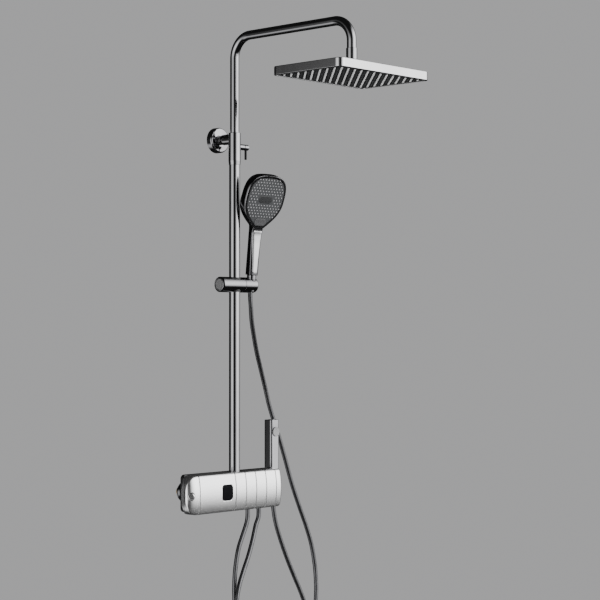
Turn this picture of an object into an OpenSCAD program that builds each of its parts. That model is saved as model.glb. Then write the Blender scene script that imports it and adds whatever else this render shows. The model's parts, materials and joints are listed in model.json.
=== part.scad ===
// Rainfall shower column: a wall-mounted thermostatic valve bar with four piano keys,
// a telescopic riser with a swinging arm and a rectangular overhead head, a handset in a
// sliding holder, and a spray gun in a ring at the bar's right end.
// Frame: the wall is the plane Y = 0 and the room is at -Y. The origin lies on the wall,
// midway between the two water inlets. +X is to the right, +Z is up. Millimetres.

/* [Column] */
// Distance between the two water inlets
inlet_pitch = 150; // [140:1:160]
// Riser axis to the right of the middle of the inlets
riser_x = 20; // [18:1:22]
// Riser axis to the wall
wall_gap = 60; // [59:1:62]
// Outer diameter of the lower tube
lower_d = 24; // [23.6:0.1:24.4]
// Wall of the lower tube
lower_wall = 1.7; // [1.5:0.1:1.9]
// Running gap between the two tubes, radial
tube_fit = 0.3; // [0.3:0.05:0.5]
// Wall of the upper tube
upper_wall = 1.5; // [1.2:0.1:2]
// Height of the wall bracket above the inlets
bracket_z = 774; // [740:1:800]
// Height of the arm above the inlets
arm_z = 998; // [960:1:1040]
// Reach of the arm from riser to head
arm_reach = 344; // [320:1:380]
// Bend radius of the arm
bend_r = 47; // [42:1:55]
// How far the upper tube goes down inside the lower one
tube_overlap = 165; // [130:1:200]

/* [Bracket] */
// Outer diameter of the clamp sleeve
sleeve_d = 27; // [26:0.5:29]
// Length of the clamp sleeve
sleeve_h = 71; // [68:1:80]
// Diameter of the wall flange
flange_d = 56; // [52:1:64]
// Depth of the wall flange
flange_t = 17; // [15:1:19]
// Diameter of the bracket post
post_d = 23.5; // [22:0.5:25]
// Diameter of the lock boss and its spindle
lock_d = 13; // [12:0.5:14]
// Length of the lock bar below the spindle axis
lock_bar_l = 27; // [22:1:34]

/* [Overhead head] */
// Width of the head, along the wall
head_w = 282; // [250:1:300]
// Depth of the head, away from the wall
head_d = 190; // [170:1:200]
// Thickness of the head at its rim
head_t = 18; // [15:1:20]
// Corner radius of the head
head_r = 14; // [10:1:20]
// Arm axis down to the top of the head
head_drop = 106; // [102:1:115]
// Distance between the diagonal ribs of the face
rib_pitch = 14; // [13:0.5:16]
// Width of one rib
rib_w = 3.2; // [2.5:0.1:4]
// Width of the plain border round the ribs
rib_margin = 12; // [9:1:16]

/* [Valve bar] */
// Length of the bar, knob included
valve_w = 286; // [280:1:296]
// Height of the bar
valve_h = 84; // [80:1:90]
// Wall to the crown of the front
valve_front = 92; // [90:1:95]
// Rise of the crowned front over its height
valve_sag = 5.5; // [4:0.5:7]
// Edge radius of the front
valve_edge = 6; // [5:0.5:8]
// Wall thickness of the cover
cover_wall = 3; // [2.5:0.1:3.5]
// Length of the temperature knob
knob_l = 30; // [26:1:34]
// Length of the right end cap
cap_l = 22; // [20:0.5:26]
// Width of one piano key with its gap
key_pitch = 31.5; // [29:0.5:32]
// Travel of a piano key
key_travel = 3; // [2:0.5:3]
// Gap between neighbouring keys
key_gap = 1; // [0.8:0.1:1.4]
// Width of the display lens
display_w = 32; // [28:1:36]
// Height of the display lens
display_h = 33; // [28:1:36]
// Diameter of the safety button on the knob
knob_button_d = 18; // [14:1:19]
// Gap between the display and the first key
display_gap = 10.5; // [8:0.5:14]

/* [Holder and handset] */
// Height of the sliding holder above the inlets
holder_z = 452; // [430:1:480]
// Diameter of the sliding holder
holder_d = 34; // [33:0.5:36]
// Length of the holder to the left of the riser axis
holder_left = 48; // [44:1:54]
// Length of the holder to the right of the riser axis
holder_right = 61; // [60:1:66]
// Seam between clamp and tilting cradle, right of the riser axis
holder_seam = 21.5; // [20.5:0.5:23]
// Socket axis to the right of the riser axis
socket_x = 46; // [45:0.5:47]
// Socket axis in front of the riser axis, at the holder's height
socket_y = 5; // [4:0.5:5.5]
// Lean of the handset towards the room, degrees
handset_lean = 6.4; // [4:0.2:8]
// Turn of the handset about its own axis, degrees
handset_turn = 10; // [0:1:15]
// Half width of the handset's head
face_hw = 51; // [46:0.5:56]
// Height of the face above its middle
face_up = 55; // [50:1:60]
// Height of the face below its middle
face_down = 68; // [62:1:72]
// Half width of the head where it meets the handle
neck_hw = 12.6; // [11:0.2:14]
// Thickness of the handset's head
face_t = 25; // [22:0.5:28]
// Tilt of the face against the handle, degrees
face_tilt = 16; // [12:0.5:18]

/* [Spray gun] */
// Gun axis to the right of the bar's right end
gun_gap = 15; // [15:1:22]
// Gun axis to the wall
gun_y = 40; // [39:1:41]
// Height of the top of the gun
gun_top = 149; // [140:1:160]
// Side of the gun's square body
gun_w = 25.5; // [24:0.5:27]
// Diameter of the gun's push button
gun_button_d = 21; // [17:1:21.5]

/* [Hidden] */
$fn = 48;
fit = 0.05;          // face-to-face seats inside one body
run = 0.3;           // clearance between pieces that move past each other
upper_d = lower_d - 2*lower_wall - 2*tube_fit;
rx = riser_x;
ry = -wall_gap;
half_h = valve_h/2;
valve_left = -valve_w/2;
valve_right = valve_w/2;
knob_x = valve_left + knob_l;         // seam between knob and cover
cap_x = valve_right - cap_l;          // seam between last key and end cap
keys_x = cap_x - 4*key_pitch;         // seam between cover and first key
function key_mid(i) = keys_x + (i + 0.5)*key_pitch;
cover_back = 40;                      // cover ends this far from the wall
house_back = 26;                      // rear housing ends this far from the wall
key_t = 12.6;                         // thickness of a key at the crown
key_back = valve_front - key_t;
ledge_front = key_back - key_travel - 0.4;
bar_y = -50;                          // manifold bar axis
bar_d = valve_h - 46;
cart_l = 50;                          // depth of the cartridge's bore
knob_back = 60;                       // the knob ends this far from the wall
nipple_z = 24;                        // the lower tube stands on the manifold here
thermo_y = -68;                       // knob and cartridge axis
outlet_y = -52;
outlet_a = key_mid(2) - 4.5;            // handset hose outlet
outlet_b = key_mid(3) - 1.5;            // gun hose outlet
outlet_d = 14;                        // collar round each hose, under the bar
outlet_top = -half_h + 6;
outlet_low = -half_h - 4;
sleeve_z = bracket_z - 58;            // bottom of the clamp sleeve
bush_h = 18;
bush_z = sleeve_z + sleeve_h - bush_h;
tube_end = sleeve_z + sleeve_h - tube_overlap;   // lower end of the upper tube
lock_z = bracket_z - 17;
gx = valve_right + gun_gap;
head_y = ry - arm_reach;
head_top = arm_z - head_drop;
ball_z = head_top + 6;
ball_d = 17;
nut_d = 23;
nut_low = ball_z + 10;
nut_top = nut_low + 28;
face_z = head_top - head_t;
hx = rx + socket_x;
hy = ry - socket_y;
hose_d = 10;
union_af = 30;
stud_d = 20.955;                      // G1/2 thread
cover_steel = [0.88, 0.88, 0.89];
gunmetal = [0.33, 0.33, 0.35];
dark = [0.16, 0.16, 0.17];
brass = [0.78, 0.66, 0.38];

// ---------- helpers ----------
module rod_x(d, x1, x2, y, z) translate([x1, y, z]) rotate([0, 90, 0]) cylinder(d = d, h = x2 - x1);
module rod_y(d, y1, y2, x, z) translate([x, y1, z]) rotate([-90, 0, 0]) cylinder(d = d, h = y2 - y1);
module rod_z(d, z1, z2, x, y) translate([x, y, z1]) cylinder(d = d, h = z2 - z1);
module ring_z(d1, d2, z1, z2, x, y) difference() {
    rod_z(d1, z1, z2, x, y);
    rod_z(d2, z1 - 1, z2 + 1, x, y);
}
// Rounded rectangle of width w and depth d, corner radius r, centred
module pad(w, d, r) {
    square([w - 2*r, d], center = true);
    square([w, d - 2*r], center = true);
    for (sx = [-1, 1], sy = [-1, 1]) translate([sx*(w/2 - r), sy*(d/2 - r)]) circle(r = r);
}
function arc(cx, cy, r, a0, a1, n) =
    [for (i = [0:n]) let (a = a0 + (a1 - a0)*i/n) [cx + r*cos(a), cy + r*sin(a)]];

// Outline of the bar in the Y-Z plane: a crowned front between two edge radii.
// front and back are distances from the wall, h is the half height.
function bar_outline(front, back, h, sag, edge) =
    let (r = (h*h + sag*sag)/(2*sag),
         yc = r - front,
         yf = yc - sqrt((r - edge)*(r - edge) - (h - edge)*(h - edge)),
         a = asin((h - edge)/(r - edge)))
    concat([[-back, h]],
           arc(yf, h - edge, edge, 90, 180 - a, 4),
           arc(yc, 0, r, 180 - a*0.85, 180 + a*0.85, 10),
           arc(yf, edge - h, edge, 180 + a, 270, 4),
           [[-back, -h]]);

// The bar's section extruded from x1 to x2, inset by t
module bar_solid(x1, x2, back, t = 0)
    translate([x1, 0, 0]) rotate([90, 0, 90]) linear_extrude(x2 - x1)
        polygon(bar_outline(valve_front - t, back, half_h - t, valve_sag, max(valve_edge - t, 1)));

// A solid lofted through rings of equal point count, closed by a fan at each end
function middle(r) = [for (k = [0:2]) [for (p = r) p[k]]*[for (p = r) 1]/len(r)];
module loft(rings) {
    n = len(rings[0]);
    m = len(rings);
    polyhedron(
        points = concat([for (r = rings) each r], [middle(rings[0]), middle(rings[m - 1])]),
        faces = concat(
            [for (j = [0:n - 1]) [m*n, (j + 1) % n, j]],
            [for (i = [0:m - 2], j = [0:n - 1]) each let (k = (j + 1) % n)
                [[i*n + j, i*n + k, (i + 1)*n + k], [i*n + j, (i + 1)*n + k, (i + 1)*n + j]]],
            [for (j = [0:n - 1]) [m*n + 1, (m - 1)*n + j, (m - 1)*n + (j + 1) % n]]),
        convexity = 6);
}

// ---------- wall bracket ----------
module wall_flange() color(gunmetal) difference() {
    translate([rx, 0, bracket_z]) rotate([90, 0, 0]) rotate_extrude() polygon(concat(
        [[0, 0], [flange_d/2, 0]],
        arc(flange_d/2 - 4, flange_t - 5.5, 4, 0, 75, 5),
        [[post_d/2 + 2, flange_t], [0, flange_t]]));
    rod_y(flange_d - 7, -flange_t + 4, 1, rx, bracket_z);
    rod_y(post_d - 2 + 2*fit, -flange_t - 1, 0, rx, bracket_z);
}
module wall_plate() color(dark) difference() {
    union() {
        rod_y(flange_d - 8, -4, 0, rx, bracket_z);
        rod_y(post_d - 2, -wall_gap + 22, -3, rx, bracket_z);
    }
    for (s = [-1, 1]) rod_y(5.2, -5, 1, rx + s*17.5, bracket_z);
}
module wall_screws() color("silver") for (s = [-1, 1]) {
    rod_y(4.4, 0, 14, rx + s*17.5, bracket_z);
    rod_y(5, -4.1, 0.1, rx + s*17.5, bracket_z);
    rod_y(8.6, -7, -4, rx + s*17.5, bracket_z);
}
module bracket_post() color(gunmetal) difference() {
    rod_y(post_d, ry + 2, -25, rx, bracket_z);
    rod_y(post_d - 2 + 2*fit, -wall_gap + 22 - fit, 0, rx, bracket_z);
    rod_z(sleeve_d + 2*fit, bracket_z - 20, bracket_z + 20, rx, ry);
    rod_x(4.2, rx - 20, rx, -34, bracket_z);
}
module grub_screw() color("silver") rod_x(4, rx - post_d/2 + 0.1, rx - post_d/2 + 0.9, -34, bracket_z);
module bracket_sleeve() color(gunmetal) difference() {
    union() {
        translate([rx, ry, sleeve_z]) rotate_extrude() polygon([
            [0, 0], [lower_d/2 + 0.6, 0], [sleeve_d/2, 9], [sleeve_d/2, sleeve_h - 1],
            [sleeve_d/2 - 1, sleeve_h], [0, sleeve_h]]);
        rod_x(lock_d, rx, rx + sleeve_d/2 + 14, ry, lock_z);
    }
    rod_z(lower_d + 2*fit, sleeve_z - 1, sleeve_z + sleeve_h - bush_h, rx, ry);
    rod_z(lower_d + 0.2, sleeve_z + sleeve_h - bush_h - 0.01, sleeve_z + sleeve_h + 1, rx, ry);
    rod_x(7.2, rx + sleeve_d/2 + 2, rx + sleeve_d/2 + 20, ry, lock_z);
}
module lock_spindle() color(gunmetal) difference() {
    union() {
        rod_x(7, rx + sleeve_d/2 + 2.5, rx + sleeve_d/2 + 16, ry, lock_z);
        rod_x(lock_d, rx + sleeve_d/2 + 14.3, rx + sleeve_d/2 + 27, ry, lock_z);
    }
    rod_z(5.4 + 2*fit, lock_z - 20, lock_z + 4, rx + sleeve_d/2 + 21, ry);
}
module lock_bar() color(dark) translate([rx + sleeve_d/2 + 21, ry, lock_z - lock_bar_l])
    rotate_extrude() polygon([[0, 0], [2.1, 0], [2.7, 0.6], [2.7, lock_bar_l + 4], [0, lock_bar_l + 4]]);

// ---------- tubes ----------
module lower_tube() color(gunmetal)
    ring_z(lower_d, lower_d - 2*lower_wall, nipple_z + fit, sleeve_z + sleeve_h - bush_h - fit, rx, ry);
module guide_bush() color(dark)
    ring_z(lower_d + 0.1, upper_d + 2*fit, bush_z + fit, bush_z + bush_h - fit, rx, ry);
// A plug that slides in the lower tube and lets the upper tube turn on it
module tube_glide() color(dark) difference() {
    union() {
        rod_z(lower_d - 2*lower_wall - 2*fit, tube_end - 9 - fit, tube_end - fit, rx, ry);
        rod_z(upper_d - 2*upper_wall - 2*fit, tube_end - 5, tube_end + 15, rx, ry);
    }
    rod_z(11, tube_end - 20, tube_end + 20, rx, ry);
}
// The arm's centreline lies in the plane X = riser: up, a bend, out to the room, a bend, down
module arm_run(d, over) {
    rod_z(d, tube_end - over, arm_z - bend_r, rx, ry);
    translate([rx, ry - bend_r, arm_z - bend_r]) rotate([90, 0, 90])
        rotate_extrude(angle = 90) translate([bend_r, 0]) circle(d = d);
    rod_y(d, head_y + bend_r, ry - bend_r, rx, arm_z);
    translate([rx, head_y + bend_r, arm_z - bend_r]) rotate([90, 0, 90])
        rotate([0, 0, 90]) rotate_extrude(angle = 90) translate([bend_r, 0]) circle(d = d);
    rod_z(d, nut_top - 12 - over, arm_z - bend_r, rx, head_y);
}
module upper_tube() color(gunmetal) difference() {
    arm_run(upper_d, 0);
    arm_run(upper_d - 2*upper_wall, 1);
}
module arm_nut() color(gunmetal) difference() {
    translate([rx, head_y, nut_low]) rotate_extrude() polygon([
        [0, 0], [nut_d/2 - 4, 0], [nut_d/2 - 1.2, 1.6], [nut_d/2, 4.5], [nut_d/2, 27],
        [nut_d/2 - 1, 28], [0, 28]]);
    rod_z(upper_d + 2*fit, nut_top - 12 - fit, nut_top + 1, rx, head_y);
    rod_z(10 + 2*fit, ball_z, nut_top, rx, head_y);
}
module swivel_ball() color("silver") difference() {
    union() {
        translate([rx, head_y, ball_z]) sphere(d = ball_d);
        rod_z(10, ball_z, nut_top - 12 - 4*fit, rx, head_y);
    }
    rod_z(5, ball_z - ball_d, nut_top + 1, rx, head_y);
}

// ---------- overhead head ----------
// A cup between the ball and the head's socket, round inside and out
cup_d = ball_d + 2*run + 4.4;
module ball_seat() color(dark) difference() {
    translate([rx, head_y, ball_z]) sphere(d = cup_d);
    translate([rx, head_y, ball_z]) sphere(d = ball_d + 2*run);
    rod_z(cup_d + 2, ball_z - 2.8, ball_z + cup_d, rx, head_y);
    rod_z(12, ball_z - cup_d, ball_z, rx, head_y);
}
module head_shell() color(gunmetal) difference() {
    union() {
        translate([rx, head_y, face_z]) linear_extrude(head_t - 1) pad(head_w, head_d, head_r);
        translate([rx, head_y, head_top - 1]) linear_extrude(1) pad(head_w - 2, head_d - 2, head_r - 1);
        rod_z(nut_d + 9, head_top - 1, ball_z - 2, rx, head_y);
    }
    translate([rx, head_y, ball_z]) sphere(d = cup_d + 2*run);
    rod_z(14, face_z - 1, ball_z, rx, head_y);
    translate([rx, head_y, face_z - 1]) difference() {
        linear_extrude(head_t - 2.5) pad(head_w - 5, head_d - 5, head_r - 2.5);
        translate([0, 0, head_t - 9.5]) cylinder(d = nut_d + 9, h = 12);
    }
}
// The cap reaches past the ball's equator and holds it
module ball_cap() color(gunmetal) difference() {
    translate([rx, head_y, ball_z - 2 + fit]) rotate_extrude() polygon([
        [7.3, 0], [nut_d/2 + 4.5, 0], [nut_d/2 + 4.5, 3.5], [nut_d/2 + 1, 6], [7.3, 6]]);
    translate([rx, head_y, ball_z]) sphere(d = ball_d + 2*run);
    rod_z(cup_d + 2*run, ball_z - 5, ball_z + 1, rx, head_y);
}
// Ribs run at 45 degrees over the face, inside its border
rib_n = floor((head_w + head_d)/(2*rib_pitch*sqrt(2)*0.5));
module rib_field() intersection() {
    for (i = [-rib_n:rib_n]) rotate(45) translate([-300, i*rib_pitch - rib_w/2]) square([600, rib_w]);
    pad(head_w - 5 - 2*rib_margin, head_d - 5 - 2*rib_margin, 4);
}
module head_face() color(dark) translate([rx, head_y, face_z]) {
    translate([0, 0, 0.8]) linear_extrude(2.6) pad(head_w - 5 - 2*run, head_d - 5 - 2*run, head_r - 3);
    linear_extrude(0.9) rib_field();
}
// One row of nozzles between each pair of ribs
nozzle_step = 17;
function in_face(p) = abs(p[0]) < head_w/2 - rib_margin - 9 && abs(p[1]) < head_d/2 - rib_margin - 9;
nozzle_spots = [for (i = [-rib_n:rib_n], j = [-12:12])
    let (a = (i + 0.5)*rib_pitch, b = j*nozzle_step + (i % 2)*nozzle_step/2,
         p = [(a + b)*cos(45), (b - a)*cos(45)]) if (in_face(p)) p];
module head_nozzles() color("dimgray") for (p = nozzle_spots)
    translate([rx + p[0], head_y + p[1], face_z - 0.6]) cylinder(d = 2.4, h = 1.4, $fn = 16);

// ---------- valve bar ----------
module inlet_unions() color(brass) for (s = [-1, 1]) translate([s*inlet_pitch/2, 0, 0]) difference() {
    union() {
        rod_y(stud_d, 0, 14, 0, 0);
        rod_y(stud_d - 1, -8, 0.1, 0, 0);
        rod_y(19, -19, -7, 0, 0);
        rod_y(24, -19, -16, 0, 0);
    }
    rod_y(13, -20, -3, 0, 0);
    for (a = [0:60:300]) rod_y(3.8, -4, 15, 4.5*cos(a), 4.5*sin(a));
}
module union_nuts() color("silver") for (s = [-1, 1]) translate([s*inlet_pitch/2, 0, 0]) difference() {
    translate([0, -11, 0]) rotate([90, 0, 0]) linear_extrude(14.5) circle(d = union_af/cos(30), $fn = 6);
    rod_y(24 + 2*fit, -26, -15.9, 0, 0);
    rod_y(19 + 2*fit, -26, -10, 0, 0);
}
module escutcheons() color(gunmetal) for (s = [-1, 1]) translate([s*inlet_pitch/2, 0, 0]) difference() {
    rotate([90, 0, 0]) rotate_extrude() polygon([
        [stud_d/2 + 0.3, 0], [22, 0], [22, 3.5], [20, 8], [16, 10], [stud_d/2 + 0.3, 10]]);
    rod_y(38, -7.5, -0.01 + 1, 0, 0);
}
module manifold() color(brass) difference() {
    union() {
        rod_x(bar_d, knob_x + 14, cap_x - 6, bar_y, 0);
        rod_x(bar_d, knob_x + 5, knob_x + cart_l + 12, thermo_y, 0);
        for (s = [-1, 1]) rod_y(23.8, bar_y, -19 - fit, s*inlet_pitch/2, 0);
        rod_z(lower_d + 1.4, 0, nipple_z, rx, ry);
        rod_z(lower_d - 2*lower_wall - 0.2, 0, nipple_z + 16, rx, ry);
        for (x = [outlet_a, outlet_b]) rod_z(19, outlet_top + fit, 0, x, outlet_y);
    }
    rod_x(32.2, knob_x + 4, knob_x + cart_l, thermo_y, 0);
    for (i = [0:3]) rod_y(18.2, -ledge_front + 2.9, bar_y + 1, key_mid(i), 0);
    for (s = [-1, 1]) rod_y(14, bar_y, -18, s*inlet_pitch/2, 0);
    for (x = [outlet_a, outlet_b]) rod_z(9, outlet_top - 1, -8, x, outlet_y);
    rod_z(14, 8, nipple_z + 17, rx, ry);
}
module valve_cover() color(cover_steel) difference() {
    union() {
        bar_solid(knob_x + 0.5, keys_x - key_gap/2, cover_back);
        intersection() {
            bar_solid(keys_x - key_gap, cap_x, cover_back);
            translate([keys_x - 5, -ledge_front, -half_h])
                cube([4*key_pitch + 10, ledge_front - cover_back, valve_h]);
        }
    }
    difference() {
        bar_solid(knob_x + 0.5 + cover_wall, cap_x - cover_wall, cover_back - 1, cover_wall);
        translate([keys_x - key_gap/2 - cover_wall, -valve_front - 1, -half_h])
            cube([4*key_pitch + 10, valve_front + 1 - ledge_front + cover_wall, valve_h]);
    }
    rod_x(34, knob_x - 1, knob_x + 10, thermo_y, 0);
    rod_z(lower_d + 2*run, half_h - 10, half_h + 1, rx, ry);
    for (x = [outlet_a, outlet_b]) rod_z(outlet_d + 2*run, -half_h - 1, -half_h + 10, x, outlet_y);
    for (i = [0:3]) rod_y(9, -ledge_front - 1, -ledge_front + cover_wall + 1, key_mid(i), 0);
    display_window(display_w + 2*fit, display_h + 2*fit, 12);
}
display_x = keys_x - display_gap - display_w/2;
module display_window(w, h, depth) translate([display_x, -valve_front + depth, 0.5])
    rotate([90, 0, 0]) linear_extrude(depth + 1) pad(w, h, 8.5);
module display_lens() color("black") translate([display_x, -valve_front + cover_wall, 0.5])
    rotate([90, 0, 0]) linear_extrude(cover_wall + 0.3) pad(display_w, display_h, 8.5);
module display_module() color("darkgreen") translate([display_x, -valve_front + cover_wall + fit, 0.5])
    translate([-display_w/2 + 4, 0, -display_h/2 + 4]) cube([display_w - 8, 6, display_h - 8]);
module rear_housing() color(gunmetal) difference() {
    translate([(knob_x + valve_right)/2 - 1, -house_back, 0]) rotate([90, 0, 0])
        linear_extrude(cover_back - house_back - fit) pad(valve_right - knob_x - 6, valve_h - 3, 9);
    translate([(knob_x + valve_right)/2 - 1, -house_back - 3, 0]) rotate([90, 0, 0])
        linear_extrude(cover_back) pad(valve_right - knob_x - 12, valve_h - 9, 6);
    for (s = [-1, 1]) rod_y(25, -house_back - 5, -house_back + 1, s*inlet_pitch/2, 0);
}
module thermostat_cartridge() color(brass) {
    rod_x(32, knob_x + 5, knob_x + cart_l - 0.1, thermo_y, 0);
    rod_x(9.8, knob_x - 12, knob_x + 6, thermo_y, 0);
}
module key_valves() color(brass) for (i = [0:3]) difference() {
    rod_y(18, -ledge_front + 3.2, bar_y + 0.9, key_mid(i), 0);
    rod_y(8.6, -ledge_front + 3, -ledge_front + 14, key_mid(i), 0);
}
// Rings of a section that shrinks towards an end: z and front depth follow superellipses
function end_ring(x, u, front, back, pivot, pz, py) =
    let (kz = pow(1 - pow(u, pz), 1/pz), ky = pow(1 - pow(u, py), 1/py))
    [for (p = bar_outline(front, back, half_h, valve_sag, valve_edge))
        [x, -pivot + (p[0] + pivot)*ky, p[1]*kz]];
knob_steps = [0, 0.25, 0.45, 0.62, 0.76, 0.87, 0.95, 0.985];
module knob_blank(front, back)
    loft([for (i = [len(knob_steps) - 1:-1:0]) let (u = knob_steps[i])
        end_ring(knob_x - 0.5 - u*(knob_l - 0.5), u, front, back, (front + back)/2, 3, 2)]);
module knob_cap() color(cover_steel) difference() {
    knob_blank(valve_front, knob_back);
    rod_x(10, knob_x - 12.5, knob_x + 1, thermo_y, 0);
    safety_axis() cylinder(d = knob_button_d + 2*run, h = 20);
}
// A dark pad set in from the knob's edge and standing behind it
module knob_base() color(dark) loft([for (i = [len(knob_steps) - 1:-1:0])
    let (u = knob_steps[i], kz = pow(1 - pow(u, 3), 1/3))
    [for (p = [[0.1 - knob_back, 1], [0.1 - knob_back, -1], [-47, -1], [-47, 1]])
        [knob_x - 0.5 - u*(knob_l - 13), p[0], p[1]*(half_h - 1.3)*kz]]]);
// The safety button stands on the knob's round shoulder, facing the room and the left
safety_aim = 45;
module safety_axis() translate([knob_x - 0.5, -65, -1])
    rotate([0, 0, 180 + safety_aim]) rotate([0, 90, 0]) translate([0, 0, 18]) children();
module safety_button() color(cover_steel) safety_axis() {
    translate([0, 0, 3.5]) cylinder(d = knob_button_d, h = 7);
    translate([0, 0, 10.4]) cylinder(d1 = knob_button_d, d2 = knob_button_d - 2.4, h = 1.1);
}
module key(i) color(cover_steel) {
    intersection() {
        bar_solid(keys_x + i*key_pitch + key_gap/2, keys_x + (i + 1)*key_pitch - key_gap/2, cover_back);
        translate([keys_x - 5, -valve_front - 1, -half_h - 1])
            cube([4*key_pitch + 10, valve_front + 1 - key_back, valve_h + 2]);
    }
    rod_y(8, -key_back - 1, -ledge_front + 3.2 + 4, key_mid(i), 0);
}
cap_steps = [0, 0.38, 0.71, 0.92, 1];
cap_round = 6;
full_outline = bar_outline(valve_front, cover_back, half_h, valve_sag, valve_edge);
// The end cap's section drawn in by t on the front, top and bottom
function cap_ring(x, t) = [for (q = full_outline)
    [x, q[0] < -cover_back - 1 ? q[0]*(1 - t/valve_front) : q[0], q[1]*(1 - t/half_h)]];
module end_cap() color(cover_steel) loft(concat([cap_ring(cap_x + key_gap/2, 0)],
    [for (u = cap_steps) cap_ring(valve_right - cap_round + cap_round*u, cap_round*(1 - sqrt(1 - u*u)))]));
module outlet_nuts() color(gunmetal) for (x = [outlet_a, outlet_b]) difference() {
    rod_z(outlet_d, outlet_low, outlet_top, x, outlet_y);
    rod_z(hose_d + 0.4, outlet_low - 1, outlet_top - 1, x, outlet_y);
    rod_z(9, outlet_top - 2, outlet_top + 1, x, outlet_y);
}

// ---------- spray gun ----------
module gun_holder() color(gunmetal) difference() {
    union() {
        rod_z(2*(gun_gap - 0.5), 14, 34, gx, -gun_y);
        translate([valve_right - 4 + fit, -gun_y + 4, 17]) cube([gun_gap - 4, 7, 14]);
    }
    rod_z(21 + 2*run, 13, 35, gx, -gun_y);
}
module gun_body() color(gunmetal) difference() {
    union() {
        translate([gx, -gun_y, 34 + fit]) linear_extrude(gun_top - 34.8 - fit) pad(gun_w, gun_w, 5.5);
        translate([gx, -gun_y, gun_top - 0.9]) linear_extrude(0.9) pad(gun_w - 1.6, gun_w - 1.6, 4.7);
        rod_z(21, 8, 36, gx, -gun_y);
    }
    rod_z(16, gun_top - 2, gun_top + 1, gx, -gun_y);
    rod_y(gun_button_d + 2*run, -gun_y - gun_w, -gun_y - gun_w/2 + 5.5, gx, gun_top - 27);
}
module gun_spray_plate() color("silver") difference() {
    rod_z(15.8, gun_top - 2 + fit, gun_top + 0.6, gx, -gun_y);
    for (a = [0:60:300]) translate([gx + 4.6*cos(a), -gun_y + 4.6*sin(a), gun_top - 0.4])
        cylinder(d = 1.6, h = 2);
    translate([gx, -gun_y, gun_top - 0.4]) cylinder(d = 1.6, h = 2);
}
module gun_button() color(gunmetal)
    translate([gx, -gun_y - gun_w/2 + 2, gun_top - 27]) rotate([90, 0, 0]) rotate_extrude() polygon(concat(
        [[0, 0], [gun_button_d/2, 0]], arc(gun_button_d/2 - 1.2, 3.8, 1.2, 0, 80, 4), [[0, 5]]));
module gun_nut() color(gunmetal) difference() {
    translate([gx, -gun_y, -20]) rotate_extrude() polygon([
        [0, 0], [7, 0], [9.8, 6], [9.8, 28 - fit], [0, 28 - fit]]);
    rod_z(hose_d + 0.4, -21, 9, gx, -gun_y);
}

// ---------- sliding holder ----------
module slider_clamp() color(gunmetal) difference() {
    union() {
        rod_x(holder_d, rx - holder_left + 3, rx + holder_seam - 0.3, ry, holder_z);
        translate([rx - holder_left, ry, holder_z]) rotate([0, 90, 0])
            cylinder(d1 = holder_d - 5, d2 = holder_d, h = 3.01);
    }
    rod_z(lower_d + 3 + 2*fit, holder_z - 30, holder_z + 30, rx, ry);
    rod_x(25, rx - holder_left - 1, rx - 20, ry, holder_z);
    rod_x(12 + 2*fit, rx + 14.5, rx + 30, ry, holder_z);
}
module slider_liner() color(dark) ring_z(lower_d + 3, lower_d + 0.4, holder_z - 16, holder_z + 16, rx, ry);
module release_button() color(gunmetal) {
    rod_x(24.4, rx - holder_left + 2.6, rx - 26, ry, holder_z);
    translate([rx - holder_left + 2.61, ry, holder_z]) rotate([0, -90, 0]) rotate_extrude()
        polygon([[0, 0], [12.2, 0], [11.2, 1.2], [0, 1.6]]);
}
// Frame of the handset: its axis is Z, its front faces -Y
module on_handset() translate([hx, hy, holder_z]) rotate([handset_lean, 0, 0])
    rotate([0, 0, -handset_turn]) children();
module cradle() color(gunmetal) difference() {
    union() {
        intersection() {
            rod_x(holder_d, rx + holder_seam, rx + holder_right, ry, holder_z);
            translate([rx + holder_seam - 1, ry, holder_z]) rotate([0, 90, 0])
                cylinder(d1 = holder_d + 40, d2 = holder_d - 3, h = holder_right - holder_seam + 1);
        }
        rod_x(12, rx + 15, rx + holder_seam + 1, ry, holder_z);
    }
    translate([hx, hy, holder_z]) rotate([handset_lean, 0, 0]) {
        translate([0, 0, -14]) cylinder(d1 = 17 + 2*run, d2 = 20.4 + 2*run, h = 28.01);
        translate([0, 0, 14]) cylinder(d = 20.4 + 2*run, h = 20);
        translate([0, 0, -40]) cylinder(d = 17 + 2*run, h = 26.01);
        translate([0, -6, -30]) cube([40, 12, 60]);
    }
}

// ---------- handset ----------
module handset_nut() color(gunmetal) on_handset() difference() {
    union() {
        translate([0, 0, -14]) cylinder(d1 = 17, d2 = 20.4, h = 28);
        translate([0, 0, 14 - 0.01]) cylinder(d = 20.4, h = 9);
    }
    translate([0, 0, -15]) cylinder(d = hose_d + 0.8, h = 31);
}
// Half width of the face at height v from its middle
function face_w(v) = v >= 0
    ? face_hw*pow(1 - pow(min(v/face_up, 1), 3), 1/3)
    : neck_hw + (face_hw - neck_hw)*pow(1 - pow(min(-v/face_down, 1), 2.35), 1.2);
face_rows = [for (a = [90:-9:0]) face_up*sin(a)];
face_side = concat([for (i = [1:len(face_rows) - 1]) [face_w(face_rows[i]), face_rows[i]]],
    [for (k = [1:9]) let (v = -face_down*k/9) [face_w(v), v]]);
face_outline = concat([[0, face_up]], face_side,
    [for (i = [len(face_side) - 1:-1:0]) [-face_side[i][0], face_side[i][1]]]);
face_f = 29.4;                       // face in front of the handle axis, at its middle
face_mid = 191;                      // face middle along the handle axis
module on_face() on_handset() translate([0, -face_f, face_mid]) rotate([90 + face_tilt, 0, 0]) children();
// One ring across the handset at height z: half width a, front f, back b, squareness of each side
function shell_ring(z, a, f, b, nf, nb) = [for (i = [0:23]) let (t = 15*i, n = 2/(sin(t) < 0 ? nf : nb))
    [a*sign(cos(t))*pow(abs(cos(t)), n), (b - f)/2 + (f + b)/2*sign(sin(t))*pow(abs(sin(t)), n), z]];
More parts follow.
